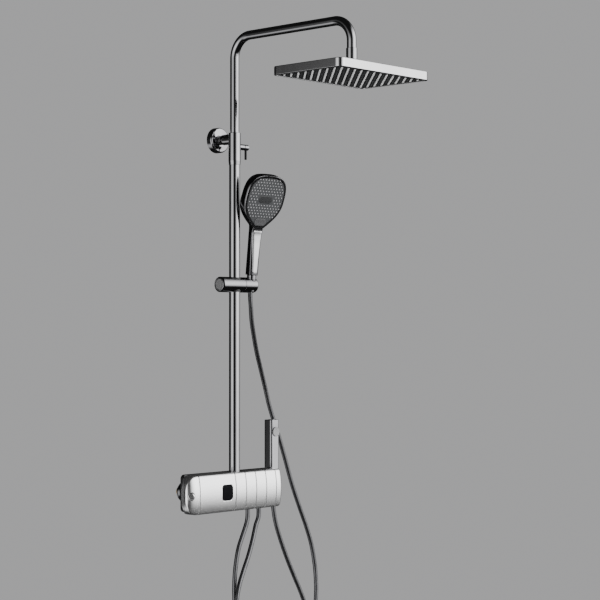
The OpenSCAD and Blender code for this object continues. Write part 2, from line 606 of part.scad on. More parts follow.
// One ring across the head at height v on the face: half width a, thickness t square to the face
function head_ring(v, a, t) = [for (p = shell_ring(0, a, 0, t, 10, 5))
    [p[0], -face_f - v*sin(face_tilt) + p[1]*cos(face_tilt),
     face_mid + v*cos(face_tilt) + p[1]*sin(face_tilt)]];
// Thickness of the head, as its share of face_t, from the neck up
head_rows = [[-67, 0.82], [-61, 0.88], [-52, 1], [-40, 1.1], [-28, 1.14], [-15, 1.1], [0, 1.02], [15, 0.98],
    [28, 0.96], [38, 0.95], [45, 0.93], [50, 0.88], [53, 0.8], [54.8, 0.66]];
module shell_blank() on_handset() loft(concat(
    [shell_ring(23, 11.6, 10.6, 11.6, 3.2, 3.2), shell_ring(26, 12.2, 11, 12.2, 3.2, 3.2),
     shell_ring(60, 12.6, 10.4, 11.8, 3.2, 3.2), shell_ring(95, 13.4, 9.6, 10.6, 3.6, 3.2),
     shell_ring(114, 14.2, 9.6, 9.8, 5, 3.2)],
    [for (r = head_rows) head_ring(r[0], max(face_w(r[0])*1.02, 14.2), r[1]*face_t)]));
module handset_shell() color(gunmetal) difference() {
    shell_blank();
    on_face() translate([0, 0, -2.4]) linear_extrude(10) polygon([for (p = face_outline) p*0.965]);
    on_handset() translate([0, 0, 10]) cylinder(d = 12, h = 20);
}
button_v = -face_down + 16;
module handset_face() color(dark) on_face() difference() {
    translate([0, 0, -2.35]) linear_extrude(2.35) polygon([for (p = face_outline) p*0.958]);
    translate([0, button_v, -3]) linear_extrude(5) pad(32.6, 16.6, 8);
    translate([0, 0, -1]) linear_extrude(3) pad(37.2, 17.2, 8.5);
}
face_pitch = 7.5;
function face_free(p) = abs(p[0]) < face_w(p[1])*0.958 - 5 && p[1] < face_up - 6 && p[1] > button_v + 10
    && !(abs(p[0]) < 21 && abs(p[1]) < 11);
face_spots = [for (j = [-9:9], i = [-8:8])
    let (p = [(i + (j % 2)/2)*face_pitch, j*face_pitch*0.866]) if (face_free(p)) p];
module handset_nozzles() color("lightgray") on_face() for (p = face_spots)
    translate([p[0], p[1], 0]) cylinder(d = 2, h = 0.8, $fn = 16);
module handset_badge() color(dark) on_face() translate([0, 0, -1 + fit])
    linear_extrude(1.3) pad(37, 17, 8.4);
module mode_button() color(gunmetal) on_face() translate([0, button_v, -0.2])
    linear_extrude(1.6) pad(32, 16, 7.7);
module handle_trim() color("silver") on_handset() loft([
    for (k = [[27, 6, 11.1], [60, 7.6, 10.5], [95, 10.4, 9.7], [114, 12, 9.75], [121, 12.2, 10.5]])
        [[k[1], -k[2] - 0.9, k[0]], [k[1], -k[2], k[0]],
         [-k[1], -k[2], k[0]], [-k[1], -k[2] - 0.9, k[0]]]]);

// ---------- hoses ----------
// Route points are chosen by hand; each carries one ring of the tube
handset_route = [
    [hx, hy - 2, holder_z + 14], [hx, hy + 2, holder_z - 16], [70, -61, 405], [78, -56, 372],
    [93, -48, 338], [111, -39, 303],
    [132, -30, 267], [154, -23, 223], [171, -20, 180], [188, -20, 140], [205, -20, 102], [224, -20, 54],
    [246, -20, -3], [271, -20, -57], [295, -20, -106], [313, -20, -151], [325, -20, -202],
    [328, -21, -248], [325, -22, -288], [315, -24, -325], [298, -26, -359], [275, -28, -388],
    [245, -31, -413], [210, -34, -430], [173, -37, -437], [136, -40, -433], [102, -43, -418],
    [72, -46, -393], [50, -48, -360], [37, -50, -324], [31, -51, -288], [29, -52, -252],
    [28, -52, -215], [31, -52, -175], [40, -52, -133], [54, -52, -102],
    [65, -52, -79], [outlet_a, outlet_y, -62], [outlet_a, outlet_y, outlet_top - 1.5]
];
gun_route = [
    [gx, -gun_y, 8], [gx, -gun_y, -22], [163, -40, -46], [170, -40, -80], [184, -40, -117], [206, -40, -164],
    [231, -40, -210], [254, -41, -252], [272, -42, -292], [285, -43, -334], [291, -45, -378],
    [289, -47, -422], [278, -49, -463], [258, -52, -499], [229, -55, -527], [193, -58, -543],
    [155, -61, -545], [118, -63, -533], [86, -65, -508], [60, -66, -475], [41, -67, -436],
    [29, -67, -394], [22, -67, -351], [19, -67, -309], [19, -67, -270], [22, -66, -238], [32, -64, -207],
    [48, -61, -178], [66, -58, -148], [82, -55, -115], [95, -52, -84],
    [outlet_b, outlet_y, -64], [outlet_b, outlet_y, outlet_top - 1.5]
];
function unit(v) = v/norm(v);
// A ring of the tube, square to the route, with its sides turned by the wall's normal
function hose_ring(p, t, d, n) = let (s = unit(cross([0, 1, 0], t)), w = cross(t, s))
    [for (i = [0:n - 1]) p + d/2*(cos(360*i/n)*s + sin(360*i/n)*w)];
module hose(route, d, sides) loft([for (i = [0:len(route) - 1])
    let (a = route[max(i - 1, 0)], b = route[min(i + 1, len(route) - 1)])
    hose_ring(route[i], unit(b - a), d, sides)]);
module handset_hose() color("dimgray") hose(handset_route, hose_d, 10);
module gun_hose() color("dimgray") hose(gun_route, hose_d, 10);

wall_flange();
wall_plate();
wall_screws();
bracket_post();
bracket_sleeve();
grub_screw();
lower_tube();
inlet_unions();
union_nuts();
escutcheons();
manifold();
valve_cover();
rear_housing();
end_cap();
display_lens();
display_module();
thermostat_cartridge();
key_valves();
outlet_nuts();
gun_holder();
lock_spindle();
lock_bar();
guide_bush();
tube_glide();
upper_tube();
arm_nut();
swivel_ball();
ball_seat();
head_shell();
ball_cap();
head_face();
head_nozzles();
slider_clamp();
slider_liner();
release_button();
cradle();
handset_shell();
handset_face();
handset_nozzles();
handset_badge();
handle_trim();
mode_button();
handset_nut();
knob_cap();
knob_base();
safety_button();
key(0);  // key_1
key(1);  // key_2
key(2);  // key_3
key(3);  // key_4
gun_body();
gun_spray_plate();
gun_button();
gun_nut();
handset_hose();
gun_hose();
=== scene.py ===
# %% [markdown]
# # A rainfall shower column
# The object hangs on a bathroom wall: a satin white valve bar with four piano keys, a dark
# gunmetal riser with a swinging arm and a rectangular overhead head, a handset in a sliding
# holder and a spray gun, with two smooth hoses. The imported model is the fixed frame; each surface
# here is worked out with numpy from the boxes of its parts.
# %% Load the frame
import bmesh
import bpy
import json
import numpy as np
from mathutils import Matrix, Vector


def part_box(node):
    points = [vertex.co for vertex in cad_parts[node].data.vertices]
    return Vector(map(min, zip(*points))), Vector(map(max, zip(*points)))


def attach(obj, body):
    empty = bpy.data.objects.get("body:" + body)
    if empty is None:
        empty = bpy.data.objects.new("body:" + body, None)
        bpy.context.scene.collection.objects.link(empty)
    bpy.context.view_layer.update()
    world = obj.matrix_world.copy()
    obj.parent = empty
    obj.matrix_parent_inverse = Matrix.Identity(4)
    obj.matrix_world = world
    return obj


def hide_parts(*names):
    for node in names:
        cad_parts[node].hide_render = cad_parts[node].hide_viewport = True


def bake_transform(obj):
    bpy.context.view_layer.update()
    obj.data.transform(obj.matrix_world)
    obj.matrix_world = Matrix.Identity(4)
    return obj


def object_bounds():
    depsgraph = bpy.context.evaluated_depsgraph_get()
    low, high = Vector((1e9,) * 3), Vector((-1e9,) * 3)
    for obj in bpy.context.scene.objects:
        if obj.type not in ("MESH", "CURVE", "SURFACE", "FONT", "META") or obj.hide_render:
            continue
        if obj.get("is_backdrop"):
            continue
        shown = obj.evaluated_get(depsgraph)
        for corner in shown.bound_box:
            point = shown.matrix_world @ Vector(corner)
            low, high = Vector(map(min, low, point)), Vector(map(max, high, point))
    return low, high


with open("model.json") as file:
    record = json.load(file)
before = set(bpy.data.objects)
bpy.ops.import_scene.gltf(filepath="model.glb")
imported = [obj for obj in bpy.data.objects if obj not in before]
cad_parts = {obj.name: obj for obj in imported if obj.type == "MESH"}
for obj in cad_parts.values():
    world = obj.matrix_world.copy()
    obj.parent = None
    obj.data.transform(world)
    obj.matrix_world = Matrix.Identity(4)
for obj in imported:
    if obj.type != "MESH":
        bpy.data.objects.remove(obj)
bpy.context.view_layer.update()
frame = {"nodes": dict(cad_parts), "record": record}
nodes = frame["nodes"]
X, Y, Z = range(3)
mm = 0.001


def span(node):
    """Lowest and highest corner of a node at rest, as two numpy arrays in millimetres."""
    low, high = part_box(node)
    return np.array(low, float) / mm, np.array(high, float) / mm


def reach(node, axis):
    """Where a node begins and ends along an axis."""
    low, high = span(node)
    return low[axis], high[axis]


def centre(node):
    """Middle of a node's box."""
    low, high = span(node)
    return (low + high) / 2


def radius(node, axis=X):
    """Half a node's size along an axis."""
    low, high = reach(node, axis)
    return (high - low) / 2


# %% [markdown]
# ## The camera
# A long lens stands a little under four metres away, about at the height of the holder, to the
# left of the column. It looks almost level, so upright tubes stay upright.
# %% Camera
CAMERA_YAW, CAMERA_PITCH, CAMERA_LENS = 46.89, 0.91, 101.7


def aim_camera(place, yaw, pitch, lens):
    """A camera at place, turned yaw degrees from +Y towards +X and pitch degrees above level."""
    y, p = np.radians(yaw), np.radians(pitch)
    ahead = Vector((np.sin(y) * np.cos(p), np.cos(y) * np.cos(p), np.sin(p)))
    right = Vector((np.cos(y), -np.sin(y), 0))
    up = right.cross(ahead)
    data = bpy.data.cameras.new("camera")
    data.lens, data.sensor_width, data.clip_end = lens, 36, 50
    cam = bpy.data.objects.new("camera", data)
    cam.matrix_world = Matrix((
        (right.x, up.x, -ahead.x, place[0]), (right.y, up.y, -ahead.y, place[1]),
        (right.z, up.z, -ahead.z, place[2]), (0, 0, 0, 1)))
    bpy.context.collection.objects.link(cam)
    bpy.context.scene.camera = cam
    return cam


camera = aim_camera((-2.607, -2.7168, 0.3591), CAMERA_YAW, CAMERA_PITCH, CAMERA_LENS)
print("camera", tuple(round(v, 3) for v in camera.location))


# %% [markdown]
# ## Helpers for surfaces
# Every new piece is a grid of points: rings of equal length, one after the other. Neighbouring
# rings are joined by quads, and each open end is closed by a fan to its middle.
# %% Grids to meshes
def shade_evenly(obj):
    """Weights the normals by face area, so that flat faces stay flat beside small rounds."""
    obj.modifiers.new("even shading", "WEIGHTED_NORMAL").weight = 80


def add_mesh(name, points, faces):
    """A mesh object at the origin, smooth shaded, with normals weighted by face area."""
    mesh = bpy.data.meshes.new(name)
    mesh.from_pydata((points * mm).tolist(), [], faces)
    mesh.validate()
    mesh.shade_smooth()
    obj = bpy.data.objects.new(name, mesh)
    bpy.context.collection.objects.link(obj)
    shade_evenly(obj)
    return obj


def ring_faces(m, n, wrap_rings=False):
    """Quads between m rings of n points; the last ring meets the first if wrap_rings."""
    i = np.arange(m if wrap_rings else m - 1)[:, None]
    j = np.arange(n)[None, :]
    a = i * n + j
    b = i * n + (j + 1) % n
    c = ((i + 1) % m) * n + (j + 1) % n
    d = ((i + 1) % m) * n + j
    return np.stack([a, b, c, d], -1).reshape(-1, 4).tolist()


def skin(name, rings, wrap_rings=False):
    """rings is an array (rings, points, 3). Open ends are closed by a fan to their middle."""
    rings = np.asarray(rings, float)
    m, n, _ = rings.shape
    faces = ring_faces(m, n, wrap_rings)
    points = rings.reshape(-1, 3)
    if not wrap_rings:
        points = np.vstack([points, rings[0].mean(0), rings[-1].mean(0)])
        j = np.arange(n)
        k = (j + 1) % n
        faces += np.stack([k, j, np.full(n, m * n)], -1).tolist()
        last = (m - 1) * n
        faces += np.stack([last + j, last + k, np.full(n, m * n + 1)], -1).tolist()
    obj = add_mesh(name, points, faces)
    turn_out(obj)
    return obj


def turn_out(obj):
    """Turns a closed mesh's faces outwards: its signed volume is made positive."""
    mesh = obj.data
    mesh.calc_loop_triangles()
    t = np.zeros(len(mesh.loop_triangles) * 3, np.int32)
    mesh.loop_triangles.foreach_get("vertices", t)
    v = np.zeros(len(mesh.vertices) * 3)
    mesh.vertices.foreach_get("co", v)
    v, t = v.reshape(-1, 3), t.reshape(-1, 3)
    if np.einsum("ij,ij->i", v[t[:, 0]], np.cross(v[t[:, 1]], v[t[:, 2]])).sum() < 0:
        mesh.flip_normals()


def copies(faces, size, count):
    """Faces of count copies of a mesh of size points, the copies' points in one long list."""
    faces = np.array(faces)
    every = faces[None] + size * np.arange(count)[:, None, None]
    return every.reshape(-1, faces.shape[-1]).tolist()


def join(name, *objs):
    """Several meshes as one object, each keeping its own closed shell."""
    both = bmesh.new()
    for o in objs:
        both.from_mesh(o.data)
    both.to_mesh(objs[0].data)
    both.free()
    for o in objs[1:]:
        bpy.data.objects.remove(o)
    objs[0].name = objs[0].data.name = name
    return objs[0]


def carve(obj, cutter, crease=38):
    """Cuts one mesh out of another; edges turned more than crease degrees are shaded sharp."""
    m = obj.modifiers.new("cut", "BOOLEAN")
    m.operation, m.solver, m.object = "DIFFERENCE", "EXACT", cutter
    obj.modifiers.remove(obj.modifiers["even shading"])
    graph = bpy.context.evaluated_depsgraph_get()
    done = bpy.data.meshes.new_from_object(obj.evaluated_get(graph))
    obj.modifiers.clear()
    done.name = obj.name
    obj.data = done
    shade_evenly(obj)
    bpy.data.objects.remove(cutter)
    done.set_sharp_from_angle(angle=np.radians(crease))


# %% [markdown]
# A turned part is a profile of radius and height with its corners rounded by small arcs, carried
# round an axis. The arcs are what catches the light on a polished part, so hardly a corner is left
# sharp. A slab is a rounded rectangle drawn in and out, ring by ring, along a profile.
# %% Rounded profiles, turned parts and slabs
AXES = {"x": ((0, 1, 0), (0, 0, 1), (1, 0, 0)), "y": ((0, 0, 1), (1, 0, 0), (0, 1, 0)),
        "z": ((1, 0, 0), (0, 1, 0), (0, 0, 1))}


def rounded(points, radii, steps=5, closed=False):
    """Replaces each corner of a flat polyline by an arc of its radius, tangent to both sides."""
    p = np.asarray(points, float)
    r = np.broadcast_to(radii, (len(p),))
    out = []
    for i in range(len(p)):
        if not closed and i in (0, len(p) - 1) or r[i] <= 0:
            out.append(p[i][None])
            continue
        a, b = p[i - 1] - p[i], p[(i + 1) % len(p)] - p[i]
        la, lb = np.linalg.norm(a), np.linalg.norm(b)
        a, b = a / la, b / lb
        half = np.arccos(np.clip(a @ b, -1, 1)) / 2
        reached = min(r[i] / np.tan(half), la * 0.49, lb * 0.49)
        mid = (a + b) / np.linalg.norm(a + b) * (reached * np.tan(half)) / np.sin(half)
        s, e = a * reached - mid, b * reached - mid
        t = np.linspace(0, 1, steps + 1)[:, None]
        w = np.pi - 2 * half
        out.append(p[i] + mid + (np.sin((1 - t) * w) * s + np.sin(t * w) * e) / np.sin(w))
    return np.vstack(out)


def turned(name, profile, place, axis="z", n=96, hollow=False):
    """Rings of (radius, distance along the axis) round an axis through place.

    Each point is place + r (u cos t + v sin t) + d w, with u and v square to the axis w. The
    profile of a hollow part runs round its wall and closes on itself.
    """
    u, v, w = (np.array(a, float) for a in (AXES[axis] if isinstance(axis, str) else axis))
    r, d = np.asarray(profile, float).T[:, :, None, None]
    if not hollow:
        r = np.maximum(r, 0.01)
    t = np.linspace(0, 2 * np.pi, n, endpoint=False)
    circle = np.cos(t)[:, None] * u + np.sin(t)[:, None] * v
    return skin(name, np.array(place, float) + r * circle[None] + d * w, wrap_rings=hollow)


def lathe(name, points, radii, place, axis="z", n=96, steps=5, hollow=False):
    """A turned part whose profile is given by its corners and their rounding radii."""
    return turned(name, rounded(points, radii, steps, closed=hollow), place, axis, n, hollow)


def lift(flat, height):
    """Flat points with a height as their third number."""
    return np.column_stack([flat, np.full(len(flat), height)])


def level(mid):
    """The way to place a flat outline level, round mid."""
    return lambda flat, z: lift(flat + mid, z)


def rounded_box_line(w, d, r, per):
    """Outline of a rounded rectangle centred on the origin: four arcs, sides between them."""
    t = np.linspace(0, np.pi / 2, per)
    quarter = np.stack([np.cos(t), np.sin(t)], -1) * r
    x, y = w / 2 - r, d / 2 - r
    out = []
    for q, corner in enumerate(((x, y), (-x, y), (-x, -y), (x, -y))):
        c, s = np.cos(q * np.pi / 2), np.sin(q * np.pi / 2)
        out.append(quarter @ np.array([[c, s], [-s, c]]) + corner)
    return np.vstack(out)


def slab(name, w, d, r, profile, put, per=10, least=0.8):
    """A rounded rectangle for each (inset, height) of the profile, placed by put(flat, height)."""
    return skin(name, np.array([
        put(rounded_box_line(w - 2 * inset, d - 2 * inset, max(r - inset, least), per), height)
        for inset, height in profile]))


# %% [markdown]
# ## Shader maths
# A socket in a small class can be added and multiplied like a number; each operation adds its
# Math node. Other nodes come from one method.
# %% The socket class
class Sock:
    """A shader socket with arithmetic."""

    def __init__(self, tree, out):
        self.tree, self.out = tree, out

    def math(self, op, *others):
        node = self.tree.nodes.new("ShaderNodeMath")
        node.operation = op
        for slot, value in zip(node.inputs, (self, *others)):
            link(self.tree, slot, value)
        return Sock(self.tree, node.outputs[0])

    def __add__(self, o): return self.math("ADD", o)
    def __mul__(self, o): return self.math("MULTIPLY", o)
    __radd__, __rmul__ = __add__, __mul__


def link(tree, slot, value):
    """Links a socket to an input, or sets the input to a plain value."""
    if isinstance(value, Sock):
        tree.links.new(value.out, slot)
        return
    four = hasattr(slot.default_value, "__len__") and len(slot.default_value) == 4
    slot.default_value = (*value, 1) if four and len(value) == 3 else value


class Finish:
    """A material whose surface is one Principled shader."""

    def __init__(self, name):
        self.mat = bpy.data.materials.new(name)
        self.mat.use_nodes = True
        self.tree = self.mat.node_tree
        self.tree.nodes.clear()
        self.surface = self.tree.nodes.new("ShaderNodeBsdfPrincipled")
        end = self.tree.nodes.new("ShaderNodeOutputMaterial")
        self.tree.links.new(self.surface.outputs[0], end.inputs[0])
        self.coords = self.node("TexCoord", out="Object")

    def node(self, kind, settings=None, out=0, **inputs):
        """A new node; an input is given by its name or, as i0, i6 and so on, by its number."""
        n = self.tree.nodes.new("ShaderNode" + kind)
        for key, value in (settings or {}).items():
            setattr(n, key, value)
        for key, value in inputs.items():
            slot = n.inputs[int(key[1:]) if key[1:].isdigit() else key.replace("_", " ")]
            link(self.tree, slot, value)
        return Sock(self.tree, n.outputs[out])

    def noise(self, scale, detail, where=None):
        return self.node("TexNoise", Vector=where or self.coords, Scale=scale,
                         Detail=float(detail), Roughness=0.55)

    def mix(self, mask, a, b):
        return self.node("Mix", {"data_type": "RGBA"}, out=2, i0=mask, i6=a, i7=b)

    def ramp(self, value, low, high):
        """0 below low, 1 above high, straight between."""
        return self.node("MapRange", {"clamp": True}, Value=value, From_Min=low, From_Max=high)

    def bump(self, height, strength, distance):
        self.set(Normal=self.node("Bump", Height=height, Strength=strength, Distance=distance))

    def set(self, **inputs):
        for key, value in inputs.items():
            link(self.tree, self.surface.inputs[key.replace("_", " ")], value)


# %% [markdown]
# ## Finishes
# The tubes are dark gunmetal plating: a mirror metal, nearly black where it reflects the dark room
# and bright where it meets a soft box. The colour drifts very slightly, fingerprints and lime haze
# roughen it in soft patches, and a faint orange peel keeps the reflection from being perfect.
# %% Platings
def plating(name, dark, light, rough, haze=0.04):
    f = Finish(name)
    drift = f.ramp(f.noise(9, 3), 0.35, 0.65)
    smear = f.ramp(f.noise(38, 4), 0.48, 0.75)
    f.set(Metallic=1.0, Base_Color=f.mix(drift, dark, light))
    f.set(Roughness=smear * haze + f.noise(300, 2) * 0.02 + rough)
    f.bump(f.noise(90, 1), 0.05, 0.00005)
    return f.mat


gunmetal = plating("gunmetal plating", (0.30, 0.30, 0.31), (0.35, 0.35, 0.36), 0.09, 0.03)
silver_grey = plating("silver grey plating", (0.58, 0.58, 0.59), (0.64, 0.64, 0.65), 0.12)
dark_plating = plating("dark plating on moulding", (0.11, 0.11, 0.115), (0.14, 0.14, 0.145), 0.12)
gunmetal_moulded = plating("gunmetal plating on moulding",
                           (0.27, 0.27, 0.28), (0.32, 0.32, 0.33), 0.11)
chrome = plating("bright chrome", (0.62, 0.62, 0.63), (0.70, 0.70, 0.71), 0.10, 0.10)
print("finishes", gunmetal.name, chrome.name)


# %% [markdown]
# The valve bar is a satin white coating with a fine pearl: pale, softly shining and mostly metal,
# so that it darkens where it turns away from the light.
# %% Satin white, black lens, greys
def satin_white():
    f = Finish("satin white")
    drift = f.ramp(f.noise(6, 3), 0.3, 0.7)
    grain = f.noise(1400, 2)
    f.set(Base_Color=f.mix(drift, (0.84, 0.84, 0.845), (0.90, 0.90, 0.902)), Metallic=0.92)
    f.set(Roughness=f.ramp(f.noise(30, 4), 0.4, 0.8) * 0.04 + grain * 0.03 + 0.19)
    f.bump(grain, 0.03, 0.00005)
    return f.mat


def lens_black():
    f = Finish("black lens")
    dust = f.ramp(f.noise(120, 5), 0.55, 0.8)
    f.set(Base_Color=f.mix(dust, (0.004, 0.004, 0.005), (0.012, 0.012, 0.013)),
          Roughness=dust * 0.08 + 0.3, Specular_IOR_Level=0.02)
    return f.mat


def moulded(name, dark, light, rough, grain_size, bump, spec=0.4):
    f = Finish(name)
    grain = f.noise(grain_size, 3)
    f.set(Base_Color=f.mix(f.ramp(f.noise(14, 3), 0.3, 0.7), dark, light))
    f.set(Roughness=f.ramp(f.noise(45, 3), 0.4, 0.7) * 0.08 + grain * 0.06 + rough,
          Specular_IOR_Level=spec)
    f.bump(grain, bump, 0.0002)
    return f.mat


white, lens = satin_white(), lens_black()
black, face_grey, badge_grey, end_grey, button_grey, rib_silver, gloss_black, silicone = (
    moulded(*row) for row in (
        ("moulded black", (0.018, 0.018, 0.019), (0.028, 0.028, 0.029), 0.45, 700, 0.12),
        ("satin grey face", (0.055, 0.057, 0.06), (0.068, 0.07, 0.073), 0.34, 1200, 0.08),
        ("satin grey badge", (0.03, 0.031, 0.032), (0.038, 0.039, 0.04), 0.34, 1200, 0.08),
        ("satin grey end", (0.26, 0.26, 0.265), (0.30, 0.30, 0.305), 0.4, 1200, 0.06),
        ("satin grey button", (0.07, 0.07, 0.073), (0.09, 0.09, 0.093), 0.36, 1200, 0.06),
        ("silver rib", (0.92, 0.92, 0.925), (0.96, 0.96, 0.965), 0.4, 900, 0.05),
        ("gloss black", (0.008, 0.008, 0.009), (0.014, 0.014, 0.015), 0.25, 900, 0.03, 0.25),
        ("grey silicone", (0.38, 0.38, 0.39), (0.46, 0.46, 0.47), 0.5, 900, 0.1)))
print("finishes", white.name, lens.name, black.name, face_grey.name, silicone.name)


# %% [markdown]
# Hidden pieces are bare metal: cast brass with a sandy skin, and bright steel with turning marks.
# The hoses have a smooth dark grey sheath, mostly metal, with a slightly pearly, wavy skin.
# %% Brass, steel, hose sheath
def cast_brass():
    f = Finish("cast brass")
    sand = f.noise(420, 5)
    stain = f.ramp(f.noise(24, 4), 0.45, 0.7)
    f.set(Metallic=1.0, Base_Color=f.mix(stain, (0.72, 0.53, 0.24), (0.50, 0.34, 0.15)))
    f.set(Roughness=sand * 0.25 + stain * 0.15 + 0.24)
    f.bump(sand, 0.35, 0.0004)
    return f.mat


def turned_steel():
    f = Finish("turned steel")
    lines = f.noise(60, 2, where=f.node("Mapping", Vector=f.coords, Scale=(1, 30, 1)))
    f.set(Metallic=1.0, Base_Color=f.mix(lines, (0.52, 0.52, 0.53), (0.66, 0.66, 0.67)))
    f.set(Roughness=lines * 0.2 + 0.2)
    f.bump(lines, 0.1, 0.0002)
    return f.mat


def hose_sheath():
    f = Finish("hose sheath")
    pearl, wave = f.noise(500, 3), f.noise(70, 2)
    tone = f.mix(f.ramp(wave, 0.3, 0.7), (0.11, 0.11, 0.115), (0.14, 0.14, 0.145))
    f.set(Base_Color=tone, Metallic=0.9, Roughness=pearl * 0.05 + wave * 0.05 + 0.24)
    f.bump(wave, 0.05, 0.0002)
    return f.mat


brass, steel, sheath = cast_brass(), turned_steel(), hose_sheath()
CAD_FINISH = {
    "gunmetal_steel": gunmetal, "gunmetal_plastic": gunmetal_moulded, "satin_white": white,
    "black_lens": lens, "black_plastic": black, "dark_face": face_grey,
    "nozzle_rubber": silicone, "steel": steel, "chrome": chrome, "brass": brass,
    "hose_skin": sheath}
slot_of_node = {p["node"]: p["material_slot"] for p in frame["record"]["subparts"]}
bodies = frame["record"]["behaviour"]["bodies"]
body_of_node = {node: body for body, members in bodies.items() for node in members}


def coat(obj, finish):
    """Gives an object one material."""
    obj.data.materials.clear()
    obj.data.materials.append(finish)


for node, slot in slot_of_node.items():
    coat(nodes[node], CAD_FINISH[slot])
print("dressed", len(slot_of_node), "nodes")


def dress(obj, finish, *replaced, body=None, slot=None, rides=True):
    """Gives a piece its finish, hides the nodes it stands for and rides it on their body."""
    coat(obj, finish)
    if replaced:
        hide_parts(*replaced)
    if rides:
        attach(obj, body or body_of_node[replaced[0]])
    print("piece", obj.name, len(obj.data.vertices))
    return obj


# %% [markdown]
# ## The two hoses
# Each hose leaves a nut under the bar, hangs in a long loop and comes back up: one to the handset,
# one to the spray gun. The route's points are smoothed by a Catmull-Rom curve,
# and a round section is carried along it with frames kept level.
# %% Hose routes
HOSE_R = 5
handset_route = np.array([
    [66, -67, 466], [66, -63, 436], [70, -61, 405], [78, -56, 372], [93, -48, 338],
    [111, -39, 303], [132, -30, 267], [154, -23, 223], [171, -20, 180], [188, -20, 140],
    [205, -20, 102], [224, -20, 54], [246, -20, -3], [271, -20, -57], [295, -20, -106],
    [313, -20, -151], [325, -20, -202], [328, -21, -248], [325, -22, -288], [315, -24, -325],
    [298, -26, -359], [275, -28, -388], [245, -31, -413], [210, -34, -430], [173, -37, -437],
    [136, -40, -433], [102, -43, -418], [72, -46, -393], [50, -48, -360], [37, -50, -324],
    [31, -51, -288], [29, -52, -252], [28, -52, -215], [31, -52, -175], [40, -52, -133],
    [54, -52, -102], [65, -52, -79], [69.25, -52, -62], [69.25, -52, -37.5]])
gun_route = np.array([
    [158, -40, 8], [158, -40, -22], [163, -40, -46], [170, -40, -80], [184, -40, -117],
    [206, -40, -164], [231, -40, -210], [254, -41, -252], [272, -42, -292], [285, -43, -334],
    [291, -45, -378], [289, -47, -422], [278, -49, -463], [258, -52, -499], [229, -55, -527],
    [193, -58, -543], [155, -61, -545], [118, -63, -533], [86, -65, -508], [60, -66, -475],
    [41, -67, -436], [29, -67, -394], [22, -67, -351], [19, -67, -309], [19, -67, -270],
    [22, -66, -238], [32, -64, -207], [48, -61, -178], [66, -58, -148], [82, -55, -115],
    [95, -52, -84], [103.75, -52, -64], [103.75, -52, -37.5]])


def smooth_path(points, per=8):
    """Catmull-Rom curve: each stretch is a cubic through its points with even tangents.

    0.5 (2b + (c - a) t + (2a - 5b + 4c - d) t^2 + (3b - a - 3c + d) t^3) from b to c.
    """
    p = np.vstack([2 * points[0] - points[1], points, 2 * points[-1] - points[-2]])
    t = np.linspace(0, 1, per, endpoint=False)[None, :, None]
    a, b, c, d = (p[i:len(p) - 3 + i, None, :] for i in range(4))
    out = 0.5 * (2 * b + (c - a) * t + (2 * a - 5 * b + 4 * c - d) * t ** 2
                 + (3 * b - a - 3 * c + d) * t ** 3)
    return np.vstack([out.reshape(-1, points.shape[1]), points[-1]])


def carried(path, section, side=None):
    """A flat section of (side, up) carried along a path, square to it everywhere.

    Where no side is given, it is the level direction square to the path and to Y.
    """
    ahead = np.gradient(path, axis=0)
    ahead /= np.linalg.norm(ahead, axis=1)[:, None]
    if side is None:
        side = np.cross((0, 1, 0), ahead)
        side /= np.linalg.norm(side, axis=1)[:, None]
    side = np.broadcast_to(side, ahead.shape)
    top = np.cross(ahead, side)
    return (path[:, None] + section[None, :, 0, None] * side[:, None]
            + section[None, :, 1, None] * top[:, None])


def round_section(r, n=24):
    t = np.linspace(0, 2 * np.pi, n, endpoint=False)
    return np.stack([r * np.cos(t), r * np.sin(t)], -1)


def hose(name, route, node, rides):
    path = smooth_path(route)
    obj = dress(skin(name, carried(path, round_section(HOSE_R))), sheath, node, rides=rides)
    return obj


handset_hose = hose("handset_hose_skin", handset_route, "handset_hose", False)
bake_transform(handset_hose)
hose("gun_hose_skin", gun_route, "gun_hose", True)


# %% [markdown]
# ## Riser, arm and wall bracket
# The riser is two tubes, one inside the other. Under the bracket the outer tube ends in a clamp
# sleeve with a tapered foot; the inner tube goes up, bends over the shower and drops to the head.
# %% Riser tubes
WALL, BEND = 1.7, 47
foot, top = reach("lower_tube", Z)
riser, tube_r = centre("lower_tube")[:2], radius("lower_tube")
riser_foot = (*riser, 0)
wall = [(tube_r - WALL, foot), (tube_r, foot), (tube_r, top), (tube_r - WALL, top)]
dress(lathe("riser_tube", wall, 0.3, riser_foot, n=128, steps=3, hollow=True),
      gunmetal, "lower_tube")
low, high = span("upper_tube")
slim_r = radius("upper_tube")
arm_z, drop_y = high[Z] - slim_r, low[Y] + slim_r


def arm_line(n=40):
    """Straight up, a quarter circle, level towards the room, a quarter circle, straight down."""
    a = np.linspace(0, np.pi / 2, n)
    y0, y1, z0 = riser[1] - BEND, drop_y + BEND, arm_z - BEND
    nut_z = centre("arm_nut")[Z]
    yz = np.vstack([
        np.stack([np.full(30, riser[1]), np.linspace(low[Z], z0, 30, endpoint=False)], -1),
        np.stack([y0 + BEND * np.cos(a), z0 + BEND * np.sin(a)], -1),
        np.stack([np.linspace(y0, y1, 22)[1:-1], np.full(20, arm_z)], -1),
        np.stack([y1 - BEND * np.sin(a), z0 + BEND * np.cos(a)], -1),
        np.stack([np.full(6, drop_y), np.linspace(z0, nut_z, 7)[1:]], -1)])
    return np.column_stack([np.full(len(yz), riser[0]), yz])


dress(skin("arm_tube", carried(arm_line(), round_section(slim_r, 96), side=(1.0, 0, 0))),
      gunmetal, "upper_tube")

